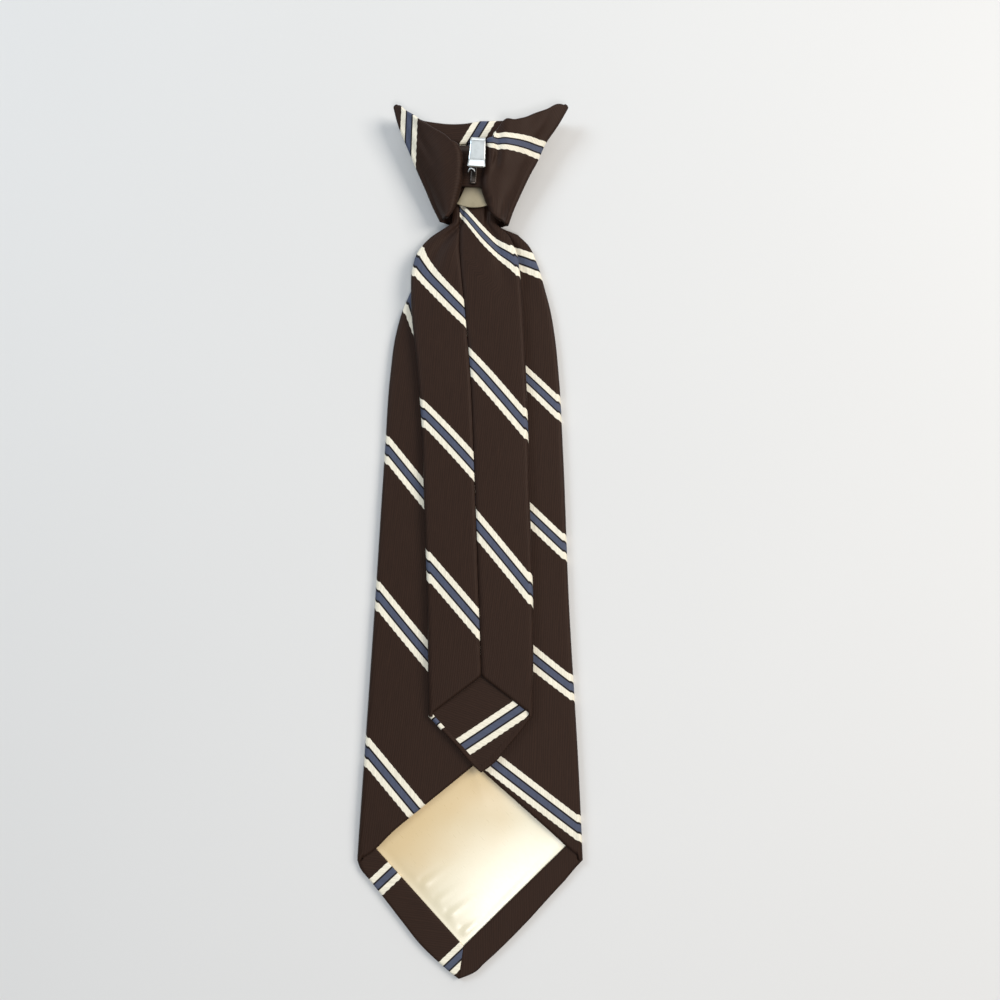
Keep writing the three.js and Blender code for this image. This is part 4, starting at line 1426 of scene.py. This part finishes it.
    def rolled(self, grid: Array, radius: float, back: float) -> Array:
        """A turned-in edge that carries on from the last row of a grid.

        From the edge the cloth goes half a circle inwards, in the plane of its
        own slope and normal, and then straight back under itself.

        Args:
            grid: the sheet, whose last row is the edge.
            radius: radius of the half circle.
            back: length of the straight end.

        Returns:
            The rows that follow the grid's last one.
        """
        along = grid[-1] - grid[-2]
        along /= np.linalg.norm(along, axis=-1, keepdims=True)
        square = np.cross(along, np.gradient(grid[-1], axis=0))
        square /= np.linalg.norm(square, axis=-1, keepdims=True)
        turn = np.linspace(0, np.pi, 8)[1:, None, None]
        curl = grid[-1] + along * radius * np.sin(turn) - square * radius * (1 - np.cos(turn))
        straight = curl[-1] - along * np.linspace(0, back, 5)[1:, None, None]
        return np.concatenate([curl, straight])

    def weave(self, points: Array, side: Side | None = None) -> Array:
        """Weave places on a part of the knot, from places in its own plan.

        On the left flap the band stands upright, on the right flap it runs
        between its two measured edges, and on the front it rises steeply. Each
        is counted in widths of its own band.

        Args:
            points: places on the knot, before it is leaned over.
            side: side of the flap, or none for the front.

        Returns:
            Weave places across and along the bands.
        """
        x, y = points[..., 0], points[..., 1]
        if side is Side.LEFT:
            start, width = self.left_band
            return np.stack([-BAND * (x - start) / width, y], -1)
        if side is Side.RIGHT:
            upper, lower = curve(self.right_band, 1, x), curve(self.right_band, 2, x)
            return np.stack([-BAND * np.minimum((upper - y) / (upper - lower), 4.0), x], -1)
        start_x, start_y, degrees, width = self.front_band
        cos, sin = math.cos(math.radians(degrees)), math.sin(math.radians(degrees))
        across = (x - start_x) * sin - (y - start_y) * cos
        return np.stack([-BAND * across / width, x * cos + y * sin], -1)

    def flap_and_edge(self, side: Side, s: Array, t: Array) -> tuple[Array, Array]:
        """A flap with its inner edge, from inside the knot out to the side fold.

        On the part that is turned in, the weave is read at the place furthest
        in that the cloth has reached, and runs on by a few millimetres.

        Args:
            side: which flap.
            s: shares of the way out to the side fold.
            t: shares of the height.

        Returns:
            Points and weave places.
        """
        flat, edge = self.flap(side, s, t), self.inner_roll(side, t)[:, 1:]
        furthest = edge.copy()
        furthest[..., 0] = side.value * np.minimum.accumulate(side.value * edge[..., 0], axis=1)
        travel = np.linspace(0, 1, edge.shape[1] + 1)[None, 1:, None] * (0.0, 5.0)
        inside = self.weave(furthest, side) + travel
        return (np.concatenate([edge[:, ::-1], flat], 1),
                np.concatenate([inside[:, ::-1], self.weave(flat, side)], 1))

    def wrap(self) -> Patch:
        """The whole sheet: left flap, left fold, front, right fold, right flap, and the turned-in rim.

        Returns:
            The sheet as one grid.
        """
        t = np.linspace(0, 1, 71)[:, None]
        s = np.linspace(0, 1, 31)[None]
        turn = np.linspace(0, 1, 13)[None, 1:-1]
        u = np.linspace(-1, 1, 61)[None]
        front = self.front(u, t)
        front_weave = self.weave(front)
        blocks = {}
        for side in Side:
            near = smooth((u * side.value - 0.72) / 0.28)[..., None]
            front_weave = mix(front_weave, self.weave(front, side), near)
            fold = self.fold(side, turn, t)
            blocks[side] = self.flap_and_edge(side, s, t), (fold, self.weave(fold, side))
        (left, left_fold), (right, right_fold) = blocks[Side.LEFT], blocks[Side.RIGHT]
        grid, weave = (np.concatenate([a, b[:, ::-1], c, d, e[:, ::-1]], 1) for a, b, c, d, e in
                       zip(left, left_fold, (front, front_weave), right_fold, right))
        rim = self.rolled(grid, self.rim_radius, self.rim_turn)
        turned = np.repeat(weave[-1:], len(rim), 0)
        first = left[0].shape[1] + turn.shape[1] + self.rim_blend
        inner = slice(first, first + u.shape[1] - 2 * self.rim_blend)
        turned[:, inner] = self.weave(rim[:, inner])
        return Patch(self.place(np.concatenate([grid, rim])), np.concatenate([weave, turned]), self.cloth)

    def build(self, material: bpy.types.Material) -> bpy.types.Object:
        """Makes the knot's cloth.

        Args:
            material: the silk.

        Returns:
            The finished object.
        """
        piece = build_object("knot_cloth", [self.wrap()], material, ("knot",))
        return piece

    def build_band(self, material: bpy.types.Material) -> bpy.types.Object:
        """Makes the band of plain cloth behind the clip, arched between the flaps and bent in at the top.

        Args:
            material: the silk.

        Returns:
            The finished object.
        """
        u = np.linspace(-1, 1, 25)[None]
        t = np.linspace(0, 1, 31)[:, None]
        (foot_y, foot_half), (top_y, top_half) = self.back_band
        x = u * mix(foot_half, top_half, t)
        y = mix(foot_y, top_y, t)
        arch = 0.15 * (1 - u * u) - 0.6 * np.abs(u) ** 3
        points = self.place(plan(x, y, self.back_band_z + arch - 2.2 * smooth((t - 0.8) / 0.2)))
        plain = woven(np.full_like(x, -0.5), y)
        piece = build_object("knot_band", [Patch(points[:, ::-1], plain[:, ::-1], 0.4)], material,
                             ("knot",))
        return piece


@dataclass(frozen=True)
class Former:
    """Bell-shaped ivory plate that spreads the flaps at the foot of the knot."""

    top_width: float = 5.4
    foot_width: float = 11.0
    height: float = 6.8
    flare: float = 0.8             # power of its sides' spread
    thick: float = 1.2
    camber: float = 0.45           # fall of the back towards its sides
    dip: float = 0.7               # fall of the back towards its upper end
    lip: float = 0.12              # ridge along the foot
    bow: float = 1.2               # how far the foot bows down
    inset: float = 5.2             # its foot above the foot of the knot
    shift: float = -1.0            # it stands left of the knot's middle
    top_z: float = 9.1
    rim: float = 0.28              # rounding of its edges

    def build(self, knot: Knot, material: bpy.types.Material) -> bpy.types.Object:
        """Makes the plate: widths blend as a power of the height, the back is arched.

        Its rounded rim comes from a bevel.

        Args:
            knot: the knot that it stands in.
            material: the ivory plastic.

        Returns:
            The finished object.
        """
        t = np.linspace(0, 1, 23)[:, None]
        u = np.linspace(-1, 1, 35)[None]
        x = u * mix(self.foot_width, self.top_width, t**self.flare) / 2
        y = self.inset + mix(-self.bow * (1 - u * u), self.height, t)
        fall = self.camber * (2 * x / self.foot_width) ** 2 + self.dip * t**2
        z = self.top_z - fall + self.lip * hump(t, 0.06, 0.05)
        grid = knot.place(plan(self.shift + x, y, z))[:, ::-1]
        patch = Patch(grid, np.zeros_like(grid[..., :2]), self.thick)
        piece = build_object("former_plate", [patch], material, ("knot_former",))
        bevel = piece.modifiers.new("rim", "BEVEL")
        bevel.width = self.rim * METRE
        bevel.segments = 3
        bevel.limit_method = "ANGLE"
        bevel.angle_limit = math.radians(50)
        bevel.use_clamp_overlap = True
        return piece


@dataclass(frozen=True)
class Clip:
    """Spring strip: stem, inner leg, round bend, outer leg and flared lip."""

    width: float = 5.3
    leg_width: float = 5.8
    length: float = 8.7
    lip: float = 3.0
    flare: float = 1.1
    lip_width: float = 6.5
    corner: float = 0.5            # radius of the lip's corners
    thick: float = 0.6
    grip: float = 3.4
    stem_width: float = 2.0
    shoulder: float = 1.0
    shift: float = -1.0            # the stem stands left of the leg's middle
    top: float = 28.3
    stem_foot: float = 12.3
    inner_z: float = 9.7
    ring: int = 28                 # points round the strip's section
    wire: float = 0.30             # radius of the staple's wire
    arch: float = 1.15             # radius of its arch
    arch_at: tuple[float, float] = (-1.75, 16.3)
    arch_lean: float = 1.3         # how far its top leans up the stem

    def path(self) -> Array:
        """Centre line and width of the strip: rows of y, z, width and x.

        A straight stem and leg, half a circle, a straight leg, and a lip that
        rises as a low power of its length and rounds off at its corners.

        Returns:
            Rows of y, z, width and x.
        """
        radius = (self.grip + self.thick) / 2
        bend_y = self.top - self.thick / 2 - radius
        leg_foot = self.top - self.length
        stem_top = leg_foot + self.shoulder
        stem = np.linspace(self.stem_foot, stem_top - self.shoulder, 8)
        widen = np.linspace(0, 1, 9)[1:]
        inner = np.linspace(stem_top, bend_y, 10)[1:-1]
        bend = np.linspace(-0.5, 0.5, 25) * math.pi
        outer = np.linspace(0, 1, 10)[1:]
        lip = 1 - (1 - np.linspace(0, 1, 25)[1:]) ** 1.6
        left = np.maximum(0, 1 - self.lip * (1 - lip) / self.corner)
        cut = 2 * self.corner * (1 - np.sqrt(1 - np.minimum(left, 0.999) ** 2))
        high = self.inner_z + 2 * radius
        blocks = (
            plan(stem, self.inner_z, self.stem_width),
            plan(stem_top + self.shoulder * (widen - 1), self.inner_z,
                 mix(self.stem_width, self.width, smooth(widen))),
            plan(inner, self.inner_z, self.width),
            plan(bend_y + radius * np.cos(bend), self.inner_z + radius + radius * np.sin(bend), self.width),
            plan(mix(bend_y, leg_foot, outer), high, mix(self.width, self.leg_width, outer)),
            plan(leg_foot - self.lip * lip, high + self.flare * lip**1.3,
                 mix(self.leg_width, self.lip_width, lip) - cut),
        )
        middle = [np.full(len(stem), self.shift), self.shift * (1 - smooth(widen))]
        rows = np.concatenate(blocks)
        middle.append(np.zeros(len(rows) - len(stem) - len(widen)))
        return np.concatenate([rows, np.concatenate(middle)[:, None]], 1)

    def strip(self) -> Sweep:
        """The strip as a sweep: a flat section with rounded edges along its centre line.

        Returns:
            The strip's sections.
        """
        path = self.path()
        slope = np.gradient(path[:, :2], axis=0)
        slope /= np.linalg.norm(slope, axis=1, keepdims=True)
        angle = np.linspace(0, 2 * math.pi, self.ring, endpoint=False)
        across = np.sign(np.cos(angle)) * np.abs(np.cos(angle)) ** 0.22
        up = np.sign(np.sin(angle)) * np.abs(np.sin(angle)) ** 0.75
        x = path[:, 3:4] + across[None] * path[:, 2:3] / 2
        lift = up[None] * self.thick / 2
        y = path[:, 0:1] - slope[:, 1:2] * lift
        z = path[:, 1:2] + slope[:, 0:1] * lift
        return Sweep(plan(x, y, z)[:, ::-1])

    def staple(self) -> Sweep:
        """The staple that holds the stem: round wire bent into a low, leaning arch across it.

        Returns:
            The staple's sections.
        """
        turn = np.linspace(0, math.pi, 19)[:, None]
        ring = np.linspace(0, 2 * math.pi, 12, endpoint=False)[None]
        out = self.arch + self.wire * np.cos(ring)
        x = self.arch_at[0] + out * np.cos(turn)
        y = self.arch_at[1] + self.wire * np.sin(ring) + self.arch_lean * np.sin(turn)
        z = self.inner_z + 0.1 + out * 0.75 * np.sin(turn)
        return Sweep(plan(x, y, z)[:, ::-1])

    def build(self, knot: Knot, material: bpy.types.Material) -> bpy.types.Object:
        """Makes the clip and its staple as one piece."""
        parts = [Sweep(knot.place(part.points)) for part in (self.strip(), self.staple())]
        return build_object("collar_clip", parts, material, ("clip",))


@dataclass(frozen=True)
class Lamp:
    """A square soft light that faces the tie. Lengths are metres."""

    name: str
    at: tuple[float, float, float]
    size: float
    power: float
    colour: Colour

    def build(self) -> None:
        """Makes the light, turned about X and then Z from straight down."""
        data = bpy.data.lights.new(self.name, "AREA")
        data.shape = "SQUARE"
        data.size = self.size
        data.energy = self.power
        data.color = self.colour
        lamp = bpy.data.objects.new(self.name, data)
        x, y, z = self.at
        lamp.location = self.at
        lamp.rotation_euler = (math.atan2(math.hypot(x, y), z), 0, math.atan2(x, -y))
        bpy.context.scene.collection.objects.link(lamp)


@dataclass(frozen=True)
class Setting:
    """Pale floor, soft light and the camera that looks almost straight down. Lengths are metres."""

    camera_at: tuple[float, float, float] = (0.0101, -0.02893, 0.37317)
    tilt: float = 6.0              # degrees that the camera leans from straight down
    half_view: float = 25.0        # degrees from the middle of the picture to its side
    sensor: float = 36.0           # millimetres
    floor_reach: float = 3.0
    floor_z: float = -0.00015
    sky: Colour = (0.92, 0.95, 1.0)
    sky_strength: float = 0.22
    lamps: tuple[Lamp, ...] = (
        Lamp("window", (0.75, 0.30, 0.80), 0.55, 9.0, (1.0, 0.97, 0.93)),
        Lamp("sky", (-0.75, 0.60, 0.80), 0.50, 6.0, (0.72, 0.86, 1.0)),
        Lamp("sheen", (0.10, -0.45, 0.95), 0.20, 2.6, (0.98, 0.98, 1.0)),
        Lamp("fill", (0.0, 0.60, 1.1), 0.34, 0.55, (0.90, 0.95, 1.0)),
        Lamp("back", (0.10, 1.30, 0.50), 0.7, 3.0, (0.92, 0.96, 1.0)),
    )

    def camera(self) -> None:
        """Makes the camera."""
        data = bpy.data.cameras.new("camera")
        data.sensor_width = self.sensor
        data.lens = self.sensor / 2 / math.tan(math.radians(self.half_view))
        data.clip_start = 0.01
        data.clip_end = 20
        camera = bpy.data.objects.new("camera", data)
        camera.location = self.camera_at
        camera.rotation_euler = (math.radians(self.tilt), 0, 0)
        bpy.context.scene.collection.objects.link(camera)
        bpy.context.scene.camera = camera

    def floor(self) -> None:
        """Makes the floor, a plain pale sheet under the tie."""
        mesh = bpy.data.meshes.new("floor")
        r, z = self.floor_reach, self.floor_z
        mesh.from_pydata([(-r, -r, z), (r, -r, z), (r, r, z), (-r, r, z)], [], [(0, 1, 2, 3)])
        mesh.materials.append(PaleFloor("pale_floor").build())
        floor = bpy.data.objects.new("floor", mesh)
        bpy.context.scene.collection.objects.link(floor)

    def room(self) -> None:
        """Makes the even light of the room and shows colours as they are."""
        world = bpy.data.worlds.new("room")
        world.use_nodes = True
        light = next(n for n in world.node_tree.nodes if n.type == "BACKGROUND")
        light.inputs["Color"].default_value = (*self.sky, 1.0)
        light.inputs["Strength"].default_value = self.sky_strength
        bpy.context.scene.world = world
        bpy.context.scene.view_settings.view_transform = "Standard"

    def build(self) -> None:
        """Makes the camera, the floor, the lamps and the room's light."""
        self.camera()
        self.floor()
        for lamp in self.lamps:
            lamp.build()
        self.room()


def build_tie() -> None:
    """Builds and dresses every sub-assembly of the tie."""
    band_group()
    thread_group()
    silk = StripedSilk("striped_silk").build()
    satin = CreamSatin("cream_satin").build()
    ivory = IvoryPlastic("ivory_plastic").build()
    steel = NickelledSteel("nickelled_steel").build()
    for blade, lining in ((BLADE, satin), (TAIL, silk)):
        cloth = blade.build(silk)
        blade.build_lining(lining)
    knot = Knot()
    knot.build(silk)
    knot.build_band(silk)
    Former().build(knot, ivory)
    Clip().build(knot, steel)


def main() -> None:
    """Builds the setting and the tie."""
    logging.basicConfig(level=logging.INFO, format="%(name)s: %(message)s")
    Setting().build()
    build_tie()


if __name__ == "__main__":
    main()
